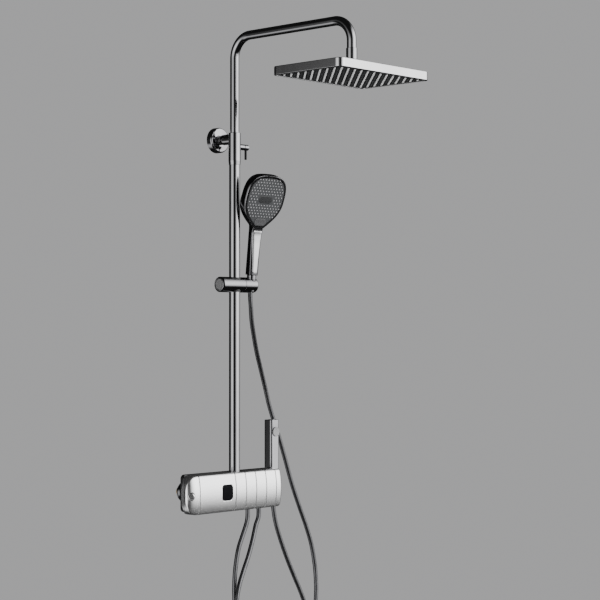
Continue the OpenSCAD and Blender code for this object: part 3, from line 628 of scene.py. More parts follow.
# %% [markdown]
# The sleeve is turned, and a short boss for the lock crosses it. The lock's spindle is a cap on
# the same line with a pin hanging through it.
# %% Clamp sleeve and lock
low, high = span("bracket_sleeve")
sleeve_r, boss_end, s0, s1 = riser[0] - low[X], high[X], low[Z], high[Z]
bore = slim_r + 0.8
sleeve = lathe("sleeve_body", [(0, s0), (tube_r + 0.6, s0), (sleeve_r, s0 + 9), (sleeve_r, s1),
    (bore, s1), (bore, s1 - 3), (0, s1 - 3)], [0, 0.6, 4, 1.2, 0.4, 0, 0], riser_foot, n=128)
lock_z, boss_r = centre("lock_spindle")[Z], radius("lock_spindle", Z)
boss_x = boss_end - riser[0]
boss = lathe("boss", [(0, 4), (boss_r, 4), (boss_r, boss_x), (0, boss_x)], 1.2,
             (*riser, lock_z), "x", 64)
dress(join("clamp_sleeve", sleeve, boss), gunmetal, "bracket_sleeve")

lock_x0, lock_x1 = reach("lock_spindle", X)
SPINDLE_R, cap_x0 = 3.5, boss_end + 0.3
dress(lathe("lock_cap", [(0, lock_x0), (SPINDLE_R, lock_x0), (SPINDLE_R, cap_x0), (boss_r, cap_x0),
    (boss_r, lock_x1), (0, lock_x1)], [0, 0.3, 0.2, 0.8, 1.6, 0], (0, riser[1], lock_z), "x", 64),
    gunmetal, "lock_spindle")
pin_z0, pin_z1 = reach("lock_bar", Z)
pin_x, pin_r = centre("lock_bar")[X], radius("lock_bar")
dress(lathe("lock_pin", [(0, pin_z0), (pin_r, pin_z0), (pin_r, pin_z1), (0, pin_z1)],
            [0, 1.4, 0.5, 0], (pin_x, riser[1], 0), "z", 48), gloss_black, "lock_bar")

# %% [markdown]
# The wall flange is a low drum with a rounded edge and a faintly domed front. A round post runs
# from it to the sleeve.
# %% Flange and post
low, high = span("wall_flange")
bracket_z, flange_r, flange_t = centre("wall_flange")[Z], radius("wall_flange"), high[Y] - low[Y]
post_mid = (riser[0], 0, bracket_z)
dress(lathe("flange_drum", [(0, 0), (flange_r, 0), (flange_r, 1.5 - flange_t), (13.75, -flange_t),
    (0, -flange_t)], [0, 0.8, 4, 2, 0], post_mid, "y", 128, steps=8), gunmetal, "wall_flange")

post_r, (_, post_end) = radius("bracket_post", Z), reach("bracket_post", Y)
post_y0 = riser[1] + 4
dress(lathe("post_body", [(0, post_y0), (post_r, post_y0), (post_r, post_end), (0, post_end)],
            [0, 0.5, 0.8, 0], post_mid, "y"), gunmetal, "bracket_post")

# %% [markdown]
# Two screws hold the flange's plate to the wall; only their tips reach behind it. The threads are
# plain ridges, one radius after the other.
# %% Wall screws
HEAD_R, SHANK_R, TIP = 4.3, 2.2, 9
low, high = span("wall_screws")
y0 = low[Y]
ridge = np.arange(1, TIP - 1, 0.8)
shank = np.column_stack([np.where(np.arange(len(ridge)) % 2, 1.9, SHANK_R), ridge])
screw = np.vstack([[(0, y0 + 0.8), (1.8, y0 + 0.8), (2, y0), (HEAD_R, y0), (HEAD_R, y0 + 3),
     (SHANK_R, y0 + 3), (SHANK_R, 0)], shank, [(0.5, TIP), (0, TIP)]])
pair = [turned("screw", screw, (x, 0, bracket_z), "y", 32)
        for x in (low[X] + HEAD_R, high[X] - HEAD_R)]
dress(join("wall_screw_pair", *pair), steel, "wall_screws")

# %% [markdown]
# ## Ball joint of the head
# The drop tube ends in a nut with a rounded foot. Below it sit the polished ball and the cap that
# holds it.
# %% Arm nut and ball
nut_r, (n0, n1) = radius("arm_nut"), reach("arm_nut", Z)
drop = (riser[0], drop_y, 0)
dress(lathe("arm_nut_skin", [(0, n0), (nut_r - 3.8, n0), (nut_r - 1, n0 + 1.6), (nut_r, n0 + 5),
    (nut_r, n1), (slim_r + 0.2, n1), (0, n1 - 0.1)],
    [0, 1, 2, 3, 0.9, 0.2, 0], drop), gunmetal, "arm_nut")
STEM_R, FLAT_R = 5, 2.5
ball_r, (ball_foot, stem_top) = radius("swivel_ball"), reach("swivel_ball", Z)
ball_z = ball_foot + ball_r * np.cos(np.arcsin(FLAT_R / ball_r))
a = np.linspace(-np.pi / 2, np.pi / 2 - 0.62, 40)
ball = np.vstack([
    np.stack([ball_r * np.cos(a), ball_z + ball_r * np.sin(a)], -1),
    [(STEM_R, ball_z + ball_r * 0.82), (STEM_R, stem_top), (0, stem_top)]])
dress(turned("ball_stud", ball, drop), chrome, "swivel_ball")

# %% [markdown]
# ## Overhead head
# The head is a flat tray with softly rounded upright corners, open below for its face. The
# outline is a rounded rectangle, drawn inwards ring by ring over the top edge.
# %% Tray of the head and cap of the ball
CORNER, RIM, MIDDLE = 14, 2.6, 40
low, high = span("head_shell")
head_w, head_d = (high - low)[:2]
head_mid, face_z = centre("head_shell")[:2], low[Z]
head_top = n0 - 16
outer = rounded([(RIM, face_z + 3), (RIM, face_z), (0, face_z), (0, head_top),
                 (MIDDLE, head_top)], [0, 0.5, 0.9, 1.4, 0])
outer = np.vstack([[(MIDDLE, face_z + 3)], outer])
tray = slab("tray", head_w, head_d, CORNER, outer, level(head_mid), per=14)
cap_r, (cap_z0, cap_z1) = radius("ball_cap"), reach("ball_cap", Z)
collar = lathe("collar", [(0, head_top - 1), (cap_r, head_top - 1), (cap_r, cap_z0), (0, cap_z0)],
    [0, 0, 0.4, 0], drop)
dress(join("head_tray", tray, collar), silver_grey, "head_shell")
dress(lathe("ball_collar", [(7.3, cap_z0), (cap_r, cap_z0), (cap_r, cap_z0 + 3.5), (12.5, cap_z1),
    (7.3, cap_z1)], 0.6, drop, steps=4, hollow=True), gunmetal, "ball_cap")

# %% [markdown]
# The face is a dark plate. Slim bright ribs run across it at forty-five degrees inside a plain
# border.
# %% Face plate and ribs
PITCH, RIB_W, RIB_H, BORDER = 14, 4, 0.8, 14.5
plate_z = face_z + 0.8
plate_line = rounded([(MIDDLE, plate_z + 2), (0, plate_z + 2), (0, plate_z),
                      (MIDDLE, plate_z)], [0, 0.3, 0.5, 0], 3)
dress(slab("head_plate", head_w - 5.6, head_d - 5.6, CORNER - 3, plate_line,
           level(head_mid), per=14), badge_grey, "head_face")
inner = np.array([head_w / 2 - BORDER, head_d / 2 - BORDER])


def clip_diagonal(offset):
    """Ends of the line x = t - s, y = t + s inside the border, with s = offset / root two."""
    s = offset / np.sqrt(2)
    lo = max(-inner[0] + s, -inner[1] - s)
    hi = min(inner[0] + s, inner[1] - s)
    return np.array([(lo - s, lo + s), (hi - s, hi + s)]) if hi - lo > 4 else None


count = int((head_w + head_d) / (PITCH * np.sqrt(2)))
across = np.array([-1, 1]) / np.sqrt(2)
half_round = np.array([(-0.5, 0), (-0.46, -0.45), (-0.3, -0.8), (0, -1), (0.3, -0.8),
                       (0.46, -0.45), (0.5, 0)])
rib_parts = []
for k in range(-count, count + 1):
    ends = clip_diagonal(k * PITCH)
    if ends is not None:
        path = np.linspace(*ends, 3) + head_mid
        flat = path[:, None] + half_round[None, :, :1] * RIB_W * across
        heights = np.broadcast_to(half_round[:, 1] * RIB_H + plate_z, flat.shape[:2])
        rib_parts.append(skin("rib", np.dstack([flat, heights])))
print("ribs", len(rib_parts))
dress(join("face_ribs", *rib_parts), rib_silver, body="head", slot="chrome")

# %% [markdown]
# ## Sliding holder
# The holder is one bar across the riser: a clamp on the left with its release button in the end,
# a seam, and the cradle on the right. Both are turned about the bar's own line.
# %% Clamp, button and cradle
POCKET_R = 12.5
clamp_x, cut_x = reach("slider_clamp", X)
bar_mid, bar_r = centre("slider_clamp")[Z], radius("slider_clamp", Z)
bar_place = (0, riser[1], bar_mid)
dress(lathe("holder_clamp", [(0, clamp_x + 6), (POCKET_R, clamp_x + 6), (POCKET_R, clamp_x),
    (bar_r - 2.8, clamp_x), (bar_r, clamp_x + 3), (bar_r, cut_x), (0, cut_x)],
    [0, 0.6, 0.6, 1.4, 1.6, 0.7, 0], bar_place, "x", 128),
    gunmetal_moulded, "slider_clamp")
press_x0, press_x1 = reach("release_button", X)
press_r = radius("release_button", Z)
dress(lathe("release_disc", [(0, press_x1), (press_r, press_x1), (press_r, press_x0 + 0.6),
    (press_r - 1.6, press_x0 + 0.2), (0, press_x0)],
    [0, 0.3, 0.6, 1, 0], bar_place, "x"), end_grey, "release_button")
seam_x, end_x = cut_x + 0.5, reach("cradle", X)[1]
dress(lathe("holder_cradle", [(0, seam_x), (bar_r, seam_x), (bar_r, end_x), (0, end_x)],
            [0, 0.7, 4.8, 0], bar_place, "x", 128, steps=8), gunmetal_moulded, "cradle")

# %% [markdown]
# ## Handset
# The handset leans towards the room and is turned a little to the left. Its own frame has the
# handle's axis as Z and the front as -Y; every ring is shaped there and then carried into place.
# %% Handset frame
LEAN, TURN, TILT = np.radians(6.4), np.radians(10), np.radians(16)
FACE_F, FACE_MID = 29.4, 191
FACE_HW, FACE_UP, FACE_DOWN, NECK, FACE_T = 51, 55, 68, 12.6, 25


def about_x(angle):
    """The matrix that turns a column round X."""
    c, s = np.cos(angle), np.sin(angle)
    return np.array([[1, 0, 0], [0, c, -s], [0, s, c]])


spot = np.array([66, -65, bar_mid])
to_row = about_x(LEAN) @ np.array([
    [np.cos(TURN), np.sin(TURN), 0], [-np.sin(TURN), np.cos(TURN), 0], [0, 0, 1]])
face_turn = about_x(np.pi / 2 + TILT)


def on_handset(p):
    """From the handset's own frame to the row frame."""
    return np.asarray(p) @ to_row.T + spot


def on_face(p):
    """From the face's frame (x across, y up, z out of the face) to the row frame."""
    return on_handset(np.asarray(p) @ face_turn.T + (0, -FACE_F, FACE_MID))


def face_half(v):
    """Half width of the face at height v.

    Above the middle FACE_HW (1 - (v / FACE_UP)^3)^(1/3), a superellipse; below it
    NECK + (FACE_HW - NECK) (1 - (-v / FACE_DOWN)^2.35)^1.2, which draws in to the neck.
    """
    v = np.asarray(v, float)
    up = FACE_HW * (1 - np.clip(v / FACE_UP, 0, 1) ** 3) ** (1 / 3)
    down = NECK + (FACE_HW - NECK) * (1 - np.clip(-v / FACE_DOWN, 0, 1) ** 2.35) ** 1.2
    return np.where(v >= 0, up, down)


def face_line(n_up=22, n_down=20):
    """Closed outline of the face, from the top clockwise."""
    a = np.linspace(np.pi / 2, 0, n_up)
    v = np.concatenate([FACE_UP * np.sin(a), -FACE_DOWN * np.linspace(0, 1, n_down)[1:]])
    right = np.stack([face_half(v), v], -1)
    right[0, 0] = 0
    return np.vstack([right, right[1:][::-1] * (-1, 1)])


# %% [markdown]
# The shell runs from the cone nut up the handle and opens into the head. Along the handle the
# rings lie level; in the head they lie square to the face: nearly flat in front, full and round
# behind. A smooth curve is carried through them.
# %% Handset shell
def shell_ring(z, a, f, b, nf, nb, n=64):
    """A ring at height z: half width a, front f, back b, squareness nf in front, nb behind.

    x = a cos(t)^(2 / n) and y = (b - f) / 2 + (f + b) / 2 sin(t)^(2 / n), with their signs.
    """
    t = np.linspace(0, 2 * np.pi, n, endpoint=False)
    p = 2 / np.where(np.sin(t) < 0, nf, nb)
    x = a * np.sign(np.cos(t)) * np.abs(np.cos(t)) ** p
    y = (b - f) / 2 + (f + b) / 2 * np.sign(np.sin(t)) * np.abs(np.sin(t)) ** p
    return np.stack([x, y, np.full(n, z)], -1)


def head_ring(v, thick):
    """A ring square to the face at height v on it, as deep as the head is thick there."""
    flat = shell_ring(0, max(float(face_half(v)) * 1.02, 14.2), 0, thick, 10, 5)
    deep = flat[:, 1]
    return np.stack([flat[:, 0], -FACE_F - v * np.sin(TILT) + deep * np.cos(TILT),
                     FACE_MID + v * np.cos(TILT) + deep * np.sin(TILT)], -1)


handle = np.array([(23, 11.6, 10.6, 11.6, 3.2, 3.2), (26, 12.2, 11, 12.2, 3.2, 3.2),
    (60, 12.6, 10.4, 11.8, 3.2, 3.2), (95, 13.4, 9.6, 10.6, 3.6, 3.2),
    (114, 14.2, 9.6, 9.8, 5, 3.2)])
climb = 55 * np.sin(np.radians([45, 52, 59, 66, 72, 78, 82, 85]))
heights = np.concatenate([np.linspace(-67, 35, 18), climb])
share = np.interp(
    heights, np.array([-67, -61, -52, -40, -28, -15, 0, 15, 28, 38, 45, 50, 53, 54.8]),
    [0.82, 0.88, 1, 1.1, 1.14, 1.1, 1.02, 0.98, 0.96, 0.95, 0.93, 0.88, 0.8, 0.66])
coarse = np.array([shell_ring(*row) for row in smooth_path(handle, 6)]
                  + [head_ring(v, FACE_T * k) for v, k in zip(heights, share)])
fine = smooth_path(coarse.reshape(len(coarse), -1), 3).reshape(-1, coarse.shape[1], 3)
dress(skin("handset_body", on_handset(fine)), dark_plating, "handset_shell")

# %% [markdown]
# The face is a shallow dished plate in satin grey inside a black bezel and a thin rim of dark
# metal. Short dashes stand round its edge and rows of fine nozzles cover it, with an oval in the
# middle and a rounded pad under it.
# %% Face, bezel and rim
outline = face_line()


def face_piece(name, profile, wrap_rings=False):
    """The face's outline for each (scale, height out of the face) of the profile."""
    rings = np.array([on_face(lift(outline * s, h)) for s, h in profile])
    return skin(name, rings, wrap_rings)


dress(face_piece("face_plate", [(0.30, -2.2), (0.905, -2.2), (0.905, -0.4), (0.900, 0),
    (0.86, 0.3), (0.5, 0.5), (0.02, 0.5)]), face_grey, "handset_face")
dress(face_piece("face_bezel", [(0.89, -2.2), (0.909, -0.9), (0.93, -0.2), (0.955, 0.2),
    (0.975, -0.1), (0.981, -1), (0.981, -2.2)], True), gloss_black, body="handset",
    slot="gunmetal_plastic")
dress(face_piece("face_rim", [(0.984, -1.6), (0.984, -0.2), (0.990, 0.1), (0.998, -0.3),
    (1.006, -1.2), (1.006, -2.2)], True), gunmetal, body="handset", slot="gunmetal_plastic")

# %% [markdown]
# The nozzles stand in staggered rows, with the oval's place and the mode pad's place left free.
# Each dash is a small block that points away from the middle.
# %% Nozzles, dashes, oval and mode pad
FACE_PITCH, DASHES_FROM = 7.5, -36
DASH_FOOT, DASH_TOP = (2.2, 0.55), (1.9, 0.3)
grid = np.array([((i + (j % 2) / 2) * FACE_PITCH, j * FACE_PITCH * 0.866)
                 for j in range(-9, 10) for i in range(-8, 9)])
side, rise = np.abs(grid[:, 0]), grid[:, 1]
keep = (side < face_half(rise) * 0.958 - 5) & (rise < FACE_UP - 6)
keep &= (rise > -FACE_DOWN + 26) & ~((side < 21) & (np.abs(rise) < 11))
spots = grid[keep]


def studs(name, spots, place, r, height, n=10):
    """Many small domed studs as one mesh; place carries (x, y, height) into the row frame."""
    profile = [(1.15, -0.3), (1.0, 0.3 * height), (0.85, 0.85 * height), (0.45, height)]
    m, size = len(profile), len(profile) * n
    one = np.vstack([lift(round_section(r * k, n), h) for k, h in profile])
    every = (one[None] + lift(spots, 0)[:, None]).reshape(-1, 3)
    faces = []
    for part in (ring_faces(m, n), [np.arange(size - n, size)], [np.arange(n)[::-1]]):
        faces += copies(part, size, len(spots))
    obj = add_mesh(name, place(every), faces)
    turn_out(obj)
    return obj


dash_at = face_line(46, 40)[::2] * 0.865
dash_at = dash_at[dash_at[:, 1] > DASHES_FROM]
outward = dash_at / np.linalg.norm(dash_at, axis=1)[:, None]
sideways = outward[:, ::-1] * (-1, 1)
corners = np.array([(-1, -1), (1, -1), (1, 1), (-1, 1)])
blocks = np.concatenate([np.dstack([
    dash_at[:, None] + corners[None, :, :1] * outward[:, None] * a
    + corners[None, :, 1:] * sideways[:, None] * b, np.full((len(dash_at), 4), h)])
    for (a, b), h in ((DASH_FOOT, 0.2), (DASH_TOP, 0.8))], 1)
box = [(0, 1, 5, 4), (1, 2, 6, 5), (2, 3, 7, 6), (3, 0, 4, 7), (4, 5, 6, 7), (3, 2, 1, 0)]
dashes = add_mesh("face_dashes", on_face(blocks.reshape(-1, 3)), copies(box, 8, len(blocks)))
turn_out(dashes)
dress(dashes, button_grey, body="handset", slot="dark_face")
dress(studs("face_nozzles", spots, lambda p: on_face(p + (0, 0, 0.3)), 1.35, 0.9),
      silicone, "handset_nozzles")
print("face nozzles", len(spots))


def face_oval(name, w, h, r, profile, v=0):
    """A rounded slab on the face with its middle at height v."""
    return slab(name, w, h, r, profile, lambda flat, z: on_face(lift(flat + (0, v), z)), per=8)


dress(face_oval("face_oval", 37, 17, 8.4, [(6, -0.8), (0, -0.8), (0, 0.3), (0.6, 0.7), (3, 0.9),
    (7, 0.9)]), badge_grey, "handset_badge")
dress(face_oval("mode_pad", 32, 16, 7.7, [(5, -0.2), (0, -0.2), (0, 0.8), (0.5, 1.3), (2, 1.4),
    (6, 1)], v=-FACE_DOWN + 16), button_grey, "mode_button")

# %% [markdown]
# A silver grey tapering strip lies along the front of the handle. The cone nut below the handle
# seats in the cradle.
# %% Handle strip and cone nut
strip_z = np.linspace(27, 121, 24)
strip_w = np.interp(strip_z, [27, 60, 95, 114, 121], [6, 7.6, 10.4, 12, 12.2])
half_a, front_f, back_b, square_f = (
    np.interp(strip_z, handle[:, 0], handle[:, k])[:, None] for k in (1, 2, 3, 4))
front_f = front_f + np.interp(strip_z, [114, 121], [0, 0.9])[:, None]
s = np.linspace(-1, 1, 17)
sx = strip_w[:, None] * s
skin_y = (back_b - front_f) / 2 - (front_f + back_b) / 2 * (
    1 - (np.abs(sx) / half_a) ** square_f) ** (1 / square_f)
proud = 0.9 * (1 - np.abs(s) ** 8 * 0.7)
front = np.stack([sx, skin_y - proud, strip_z[:, None] * np.ones_like(s)], -1)
back = front[:, ::-1] + (0, 1.2, 0)
dress(skin("handle_strip", on_handset(np.concatenate([front, back], 1))), silver_grey,
      "handle_trim")
dress(lathe("cone_nut", [(5.2, -14), (8.5, -14), (10.2, 14), (10.2, 22.8), (5.2, 22.8)],
    [0, 0.8, 2, 1.2, 0], spot, to_row.T, hollow=True), gunmetal, "handset_nut")

# %% [markdown]
# Fine nozzles stand on the overhead face, one row between each pair of ribs, set in a staggered
# pattern.
# %% Head nozzles
STEP = 17
ij = np.array([(i, j) for i in range(-count, count + 1) for j in range(-12, 13)])
along = ij[:, 1] * STEP + np.fmod(ij[:, 0], 2) * STEP / 2
square = (ij[:, 0] + 0.5) * PITCH
drops = np.stack([square + along, along - square], -1) / np.sqrt(2)
drops = drops[(np.abs(drops) < np.array([head_w, head_d]) / 2 - 21).all(1)]
dress(studs("head_studs", drops, lambda p: p * (1, 1, -1) + (*head_mid, plate_z), 1.2,
            1.2), face_grey, "head_nozzles")
print("head nozzles", len(drops))


# %% [markdown]
# ## Valve bar
# The bar's section is a shallow crown towards the room with small round shoulders and flat top
# and bottom. Every piece of the bar is that section run along X, drawn in a little at its ends so
# that each seam has a soft lip.
# %% Section of the bar
HALF, SAG, SHOULDER = 42, 5.5, 6
BAR_BACK, KEY_BACK, KNOB_BACK = 40, 79.4, 60
CROWN = (HALF ** 2 + SAG ** 2) / (2 * SAG)
valve_front = -span("valve_cover")[0][Y]


def bar_line(front, back, h):
    """Outline in (y, z): a crown arc of radius (HALF^2 + SAG^2) / (2 SAG), two shoulder arcs
    tangent to it, a flat back."""
    yc = CROWN - front
    yf = yc - np.sqrt((CROWN - SHOULDER) ** 2 - (h - SHOULDER) ** 2)
    a = np.arcsin((h - SHOULDER) / (CROWN - SHOULDER))

    def arc(cy, cz, rad, start, end, n):
        t = np.linspace(start, end, n)
        return np.stack([cy + rad * np.cos(t), cz + rad * np.sin(t)], -1)

    top = (-back, h) + np.linspace(0, 1, 6, endpoint=False)[:, None] * (yf + back, 0)
    return np.vstack([top, arc(yf, h - SHOULDER, SHOULDER, np.pi / 2, np.pi - a, 9),
                      arc(yc, 0, CROWN, np.pi - a * 0.97, np.pi + a * 0.97, 25),
                      arc(yf, SHOULDER - h, SHOULDER, np.pi + a, 1.5 * np.pi, 9),
                      (top * (1, -1))[::-1]])


def bar_run(name, x0, x1, back=BAR_BACK, lip=1.2, stations=0):
    """The section run from x0 to x1, its ends drawn in by quarter circles of radius lip."""
    t = np.linspace(0, np.pi / 2, 5)
    between = np.linspace(x0 + lip, x1 - lip, stations + 2)[1:-1]
    inset = np.concatenate([lip * (1 - np.sin(t)), 0 * between, lip * (1 - np.cos(t))])
    x = np.concatenate([x0 + lip * (1 - np.cos(t)), between, x1 - lip * (1 - np.sin(t))])
    return skin(name, np.array([lift(bar_line(valve_front - i, back + i, HALF - i), a)
                                for a, i in zip(x, inset)])[:, :, [2, 0, 1]])


def crown_y(z):
    """Depth of the crown at height z: its centre less sqrt(CROWN^2 - z^2)."""
    return CROWN - valve_front - np.sqrt(CROWN ** 2 - np.asarray(z) ** 2)


print("points round the bar", len(bar_line(valve_front, BAR_BACK, HALF)))

# %% [markdown]
# The cover is the stretch between knob and keys, with a lower ledge behind the keys. A pocket in
# its crown takes the black display. The cover has many stations, so that the pocket's cut meets
# small faces.
# %% Cover, pocket and keys
LEDGE_FRONT, LEDGE_HALF, POCKET_GAP = 76, 41.5, 0.6
key_x, cap_x = span("key_1")[0][X], reach("end_cap", X)
cover_end = key_x - 1
main = bar_run("cover_main", span("valve_cover")[0][X], cover_end, stations=90)
low, high = span("display_lens")
disp, (disp_w, _, disp_h) = centre("display_lens"), high - low


def on_crown(flat, out):
    """Places a flat outline round the display's middle, standing out in front of the crown."""
    x, z = (flat + disp[[X, Z]]).T
    return np.column_stack([x, crown_y(z) - out, z])


carve(main, slab("pocket", disp_w + POCKET_GAP, disp_h + POCKET_GAP, 7, [(4, -2.2), (0, -2.2),
    (0, 2), (4, 2)], on_crown))
upper = np.array([(-BAR_BACK, LEDGE_HALF), (1 - LEDGE_FRONT, LEDGE_HALF),
                  (-LEDGE_FRONT, LEDGE_HALF - 1)])
ledge_line = np.vstack([upper, upper[::-1] * (1, -1)])
ledge = skin("cover_ledge", np.array([
    lift(ledge_line, x) for x in (cover_end - 2, cap_x[0] + 1)])[:, :, [2, 0, 1]])
dress(join("valve_cover_skin", main, ledge), white, "valve_cover")
dress(slab("display_glass", disp_w, disp_h, 6.8, [(6, -1.8), (0, -1.8), (0, -0.1), (0.3, 0.2),
    (1, 0.3), (6, 0.3), (12, 0.3)], on_crown), lens, "display_lens")
for k in range(1, 5):
    dress(bar_run(f"piano_key_{k}", *reach(f"key_{k}", X), back=KEY_BACK, lip=1.3), white,
          f"key_{k}")

# %% [markdown]
# The right end is a cap that rounds over in a quarter circle. The left end is the temperature
# knob, whose height and depth fall away as two superellipses, like a thumb's end; a narrow white
# ring under it covers the gap to the wall side, and a safety button sits aslant in its front.
# %% End cap, knob and ring
CAP_ROUND, DISC_R = 11, 9
u = np.sin(np.linspace(0, np.pi / 2, 18))
inset = np.concatenate([[0.7, 0.2, 0], CAP_ROUND * (1 - np.sqrt(1 - u ** 2))])[:, None]
xs = np.concatenate([cap_x[0] + np.array([0, 0.2, 0.8]),
                     cap_x[1] - CAP_ROUND + CAP_ROUND * u])
y, z = bar_line(valve_front, BAR_BACK, HALF).T
at_back = y > -BAR_BACK - 1
dress(skin("bar_end", np.dstack([
    np.broadcast_to(xs[:, None], (len(xs), len(y))),
    np.where(at_back, y, y * (1 - inset / valve_front)), z * (1 - inset / HALF)])),
    white, "end_cap")

knob_x = reach("knob_cap", X)
pivot = (valve_front + KNOB_BACK) / 2


def knob_rings(line, length, deep, n=90):
    """Height scales by (1 - u^3)^(1/3) along the knob, and depth on both sides of the pivot by
    (1 - u^2)^(1/2) if deep."""
    u = np.sin(np.linspace(0, np.pi / 2, n))[:, None] * 0.9996
    y = -pivot + (line[:, 0] + pivot) * ((1 - u ** 2) ** (1 / 2) if deep else np.ones_like(u))
    x = np.broadcast_to(knob_x[1] - u * length, y.shape)
    return np.dstack([x, y, line[:, 1] * (1 - u ** 3) ** (1 / 3)])


body = knob_rings(bar_line(valve_front, KNOB_BACK, HALF), knob_x[1] - knob_x[0], True)
lip = np.stack([body[0]] * 2)
for i, k in enumerate((0.965, 0.990)):
    lip[i, :, 1:] = (lip[i, :, 1:] + (pivot, 0)) * k - (pivot, 0)
body[0, :, 0] -= 1.2
lip[1, :, 0] -= 0.2
knob = skin("temperature_knob", np.concatenate([lip, body]))
disc_place = (knob_x[1], -65, -1)
slant = np.array([(-1, 1, 0), (0, 0, -np.sqrt(2)), (-1, -1, 0)]) / np.sqrt(2)
hole_r = DISC_R - 0.8
carve(knob, turned("button_hole", [(0, 18), (hole_r, 18), (hole_r, 40), (0, 40)],
                   disc_place, slant))
dress(knob, white, "knob_cap")
ring_line = rounded([(-59.9, 40.5), (-59.9, -40.5), (-50, -40.5), (-50, 40.5)],
                    [0.3, 0.3, 5, 5], closed=True)
dress(skin("knob_ring", knob_rings(ring_line, 16.5, False)), white, "knob_base")
dress(lathe("safety_disc", [(0, 21.5), (DISC_R, 21.5), (DISC_R, 26.2), (DISC_R - 3, 29.4),
    (0, 29.6)], [0, 0, 0.6, 1.2, 0], disc_place, slant), white, "safety_button")

# %% [markdown]
# Behind the cover a dark housing reaches towards the wall, and two hexagon nuts hold the bar on
# its inlets, with a round rose behind each. Two slim collars show under the bar where the hoses
# leave it.
# %% Housing, inlets and outlet collars
INLET_X, NUT_FLAT, NUT_CORNER = (-75, 75), 15, 16.8
low, high = span("rear_housing")
mid, (back_w, _, back_h) = centre("rear_housing")[[X, Z]], high - low
back_line = rounded([(20, low[Y]), (0, low[Y]), (0, high[Y]), (20, high[Y])], [0, 0.4, 2, 0])
dress(slab("rear_box", back_w, back_h, 9, back_line,
           lambda flat, y: lift(flat + mid, y)[:, [0, 2, 1]]), black, "rear_housing")
t = np.linspace(0, 2 * np.pi, 72, endpoint=False)
hexagon = np.minimum(NUT_FLAT / np.cos((t % (np.pi / 3)) - np.pi / 6), NUT_CORNER)
y0, y1 = reach("union_nuts", Y)
nut_line = ((6, y0), (0.6, y0), (0, y0 + 0.9), (0, y1 - 0.9), (0.6, y1), (6, y1))
rings = np.array([np.column_stack([(hexagon - pull) * np.cos(t), np.full(len(t), y),
                                   (hexagon - pull) * np.sin(t)]) for pull, y in nut_line])
nuts = [skin("nut", rings + (x, 0, 0)) for x in INLET_X]
roses = [lathe("rose", [(10.7, 0), (22, 0), (22, -3.5), (19.5, -8.5), (16, -10),
    (10.7, -10)], [0, 0.6, 3, 4, 1, 0], (x, 0, 0), "y", hollow=True)
    for x in INLET_X]
dress(join("hex_nuts", *nuts), dark_plating, "union_nuts")
dress(join("wall_roses", *roses), dark_plating, "escutcheons")

HOSE_BORE, COLLAR_R = 5.2, 7
(x0, y0, z0), (x1, y1, z1) = span("outlet_nuts")
collars = [lathe("nut", [(HOSE_BORE, z0), (COLLAR_R, z0), (COLLAR_R, z1), (HOSE_BORE, z1)],
                 [0.4, 0.9, 0.4, 0], (x, (y0 + y1) / 2, 0), hollow=True)
           for x in (x0 + COLLAR_R, x1 - COLLAR_R)]
dress(join("hose_nuts", *collars), gunmetal, "outlet_nuts")

# %% [markdown]
# ## Spray gun
# A square bar with round corners stands in a ring beside the valve. Its button is a broad disc on
# the front, and its hose leaves through a tapered nut.
# %% Gun
GUN_CORNER, FOOT_R, CONE_R = 5.5, 10.5, 9.8
low, high = span("gun_body")
gun_mid, gun_w, g_top = centre("gun_body")[:2], high[X] - low[X], high[Z]
gun_foot = (*gun_mid, 0)
ring_z0, g_foot = reach("gun_holder", Z)
block = slab("gun_block", gun_w, gun_w, GUN_CORNER, rounded([(8, g_foot + 0.2),
    (0.6, g_foot + 0.2), (0, g_foot + 2), (0, g_top), (3, g_top), (3.6, g_top - 0.6),
    (3.6, g_top - 1.2), (8, g_top - 1.2)], [0, 0.6, 1, 1.2, 0.6, 0.2, 0.2, 0]),
    level(gun_mid), per=14)
disc_r, (front_y, sunk_y) = radius("gun_button", Z), reach("gun_button", Y)
disc_mid = (gun_mid[0], 0, centre("gun_button")[Z])
recess_r, recess_y0, recess_y1 = disc_r + 0.3, sunk_y + 1, front_y - 10
carve(block, turned("recess", [(0, recess_y0), (recess_r, recess_y0), (recess_r, recess_y1),
                               (0, recess_y1)], disc_mid, "y"))
stem = lathe("gun_stem", [(0, low[Z]), (FOOT_R, low[Z]), (FOOT_R, g_foot + 1), (0, g_foot + 1)],
    [0, 0.6, 0, 0], gun_foot)
dress(join("gun_bar", block, stem), gunmetal, "gun_body")
plate_z0, plate_z1 = reach("gun_spray_plate", Z)
dress(lathe("spray_disc", [(0, plate_z0), (7.9, plate_z0), (7.9, g_top + 0.3), (7, plate_z1),
    (0, plate_z1)], [0, 0, 0.3, 0.5, 0], gun_foot, n=64), steel, "gun_spray_plate")
dress(lathe("gun_disc", [(0, sunk_y), (disc_r, sunk_y), (disc_r, front_y), (6, front_y + 0.2),
    (0, front_y + 0.5)], [0, 0.2, 1.2, 4, 0], disc_mid, "y"), end_grey,
    "gun_button")
z0, z1 = reach("gun_nut", Z)
dress(lathe("gun_cone", [(HOSE_BORE, z0), (7, z0), (CONE_R, z0 + 6), (CONE_R, z1), (HOSE_BORE, z1)],
    [0, 0.6, 3, 0.6, 0], gun_foot, hollow=True), gunmetal, "gun_nut")
ring = lathe("gun_ring", [(10.8, ring_z0), (14.5, ring_z0), (14.5, g_foot),
    (10.8, g_foot)], 0.9, gun_foot,
    steps=4, hollow=True)
arm_x0, arm_x1 = reach("gun_holder", X)[0], gun_mid[0] - 12
arm_line = rounded([(3, arm_x0), (0, arm_x0), (0, arm_x1), (3, arm_x1)], [0, 0.5, 0.5, 0], 3)
arm = slab("gun_arm", 7, 14, 1.5, arm_line,
           lambda flat, x: lift(flat + (-32.5, 24), x)[:, [2, 0, 1]], per=5, least=0.4)
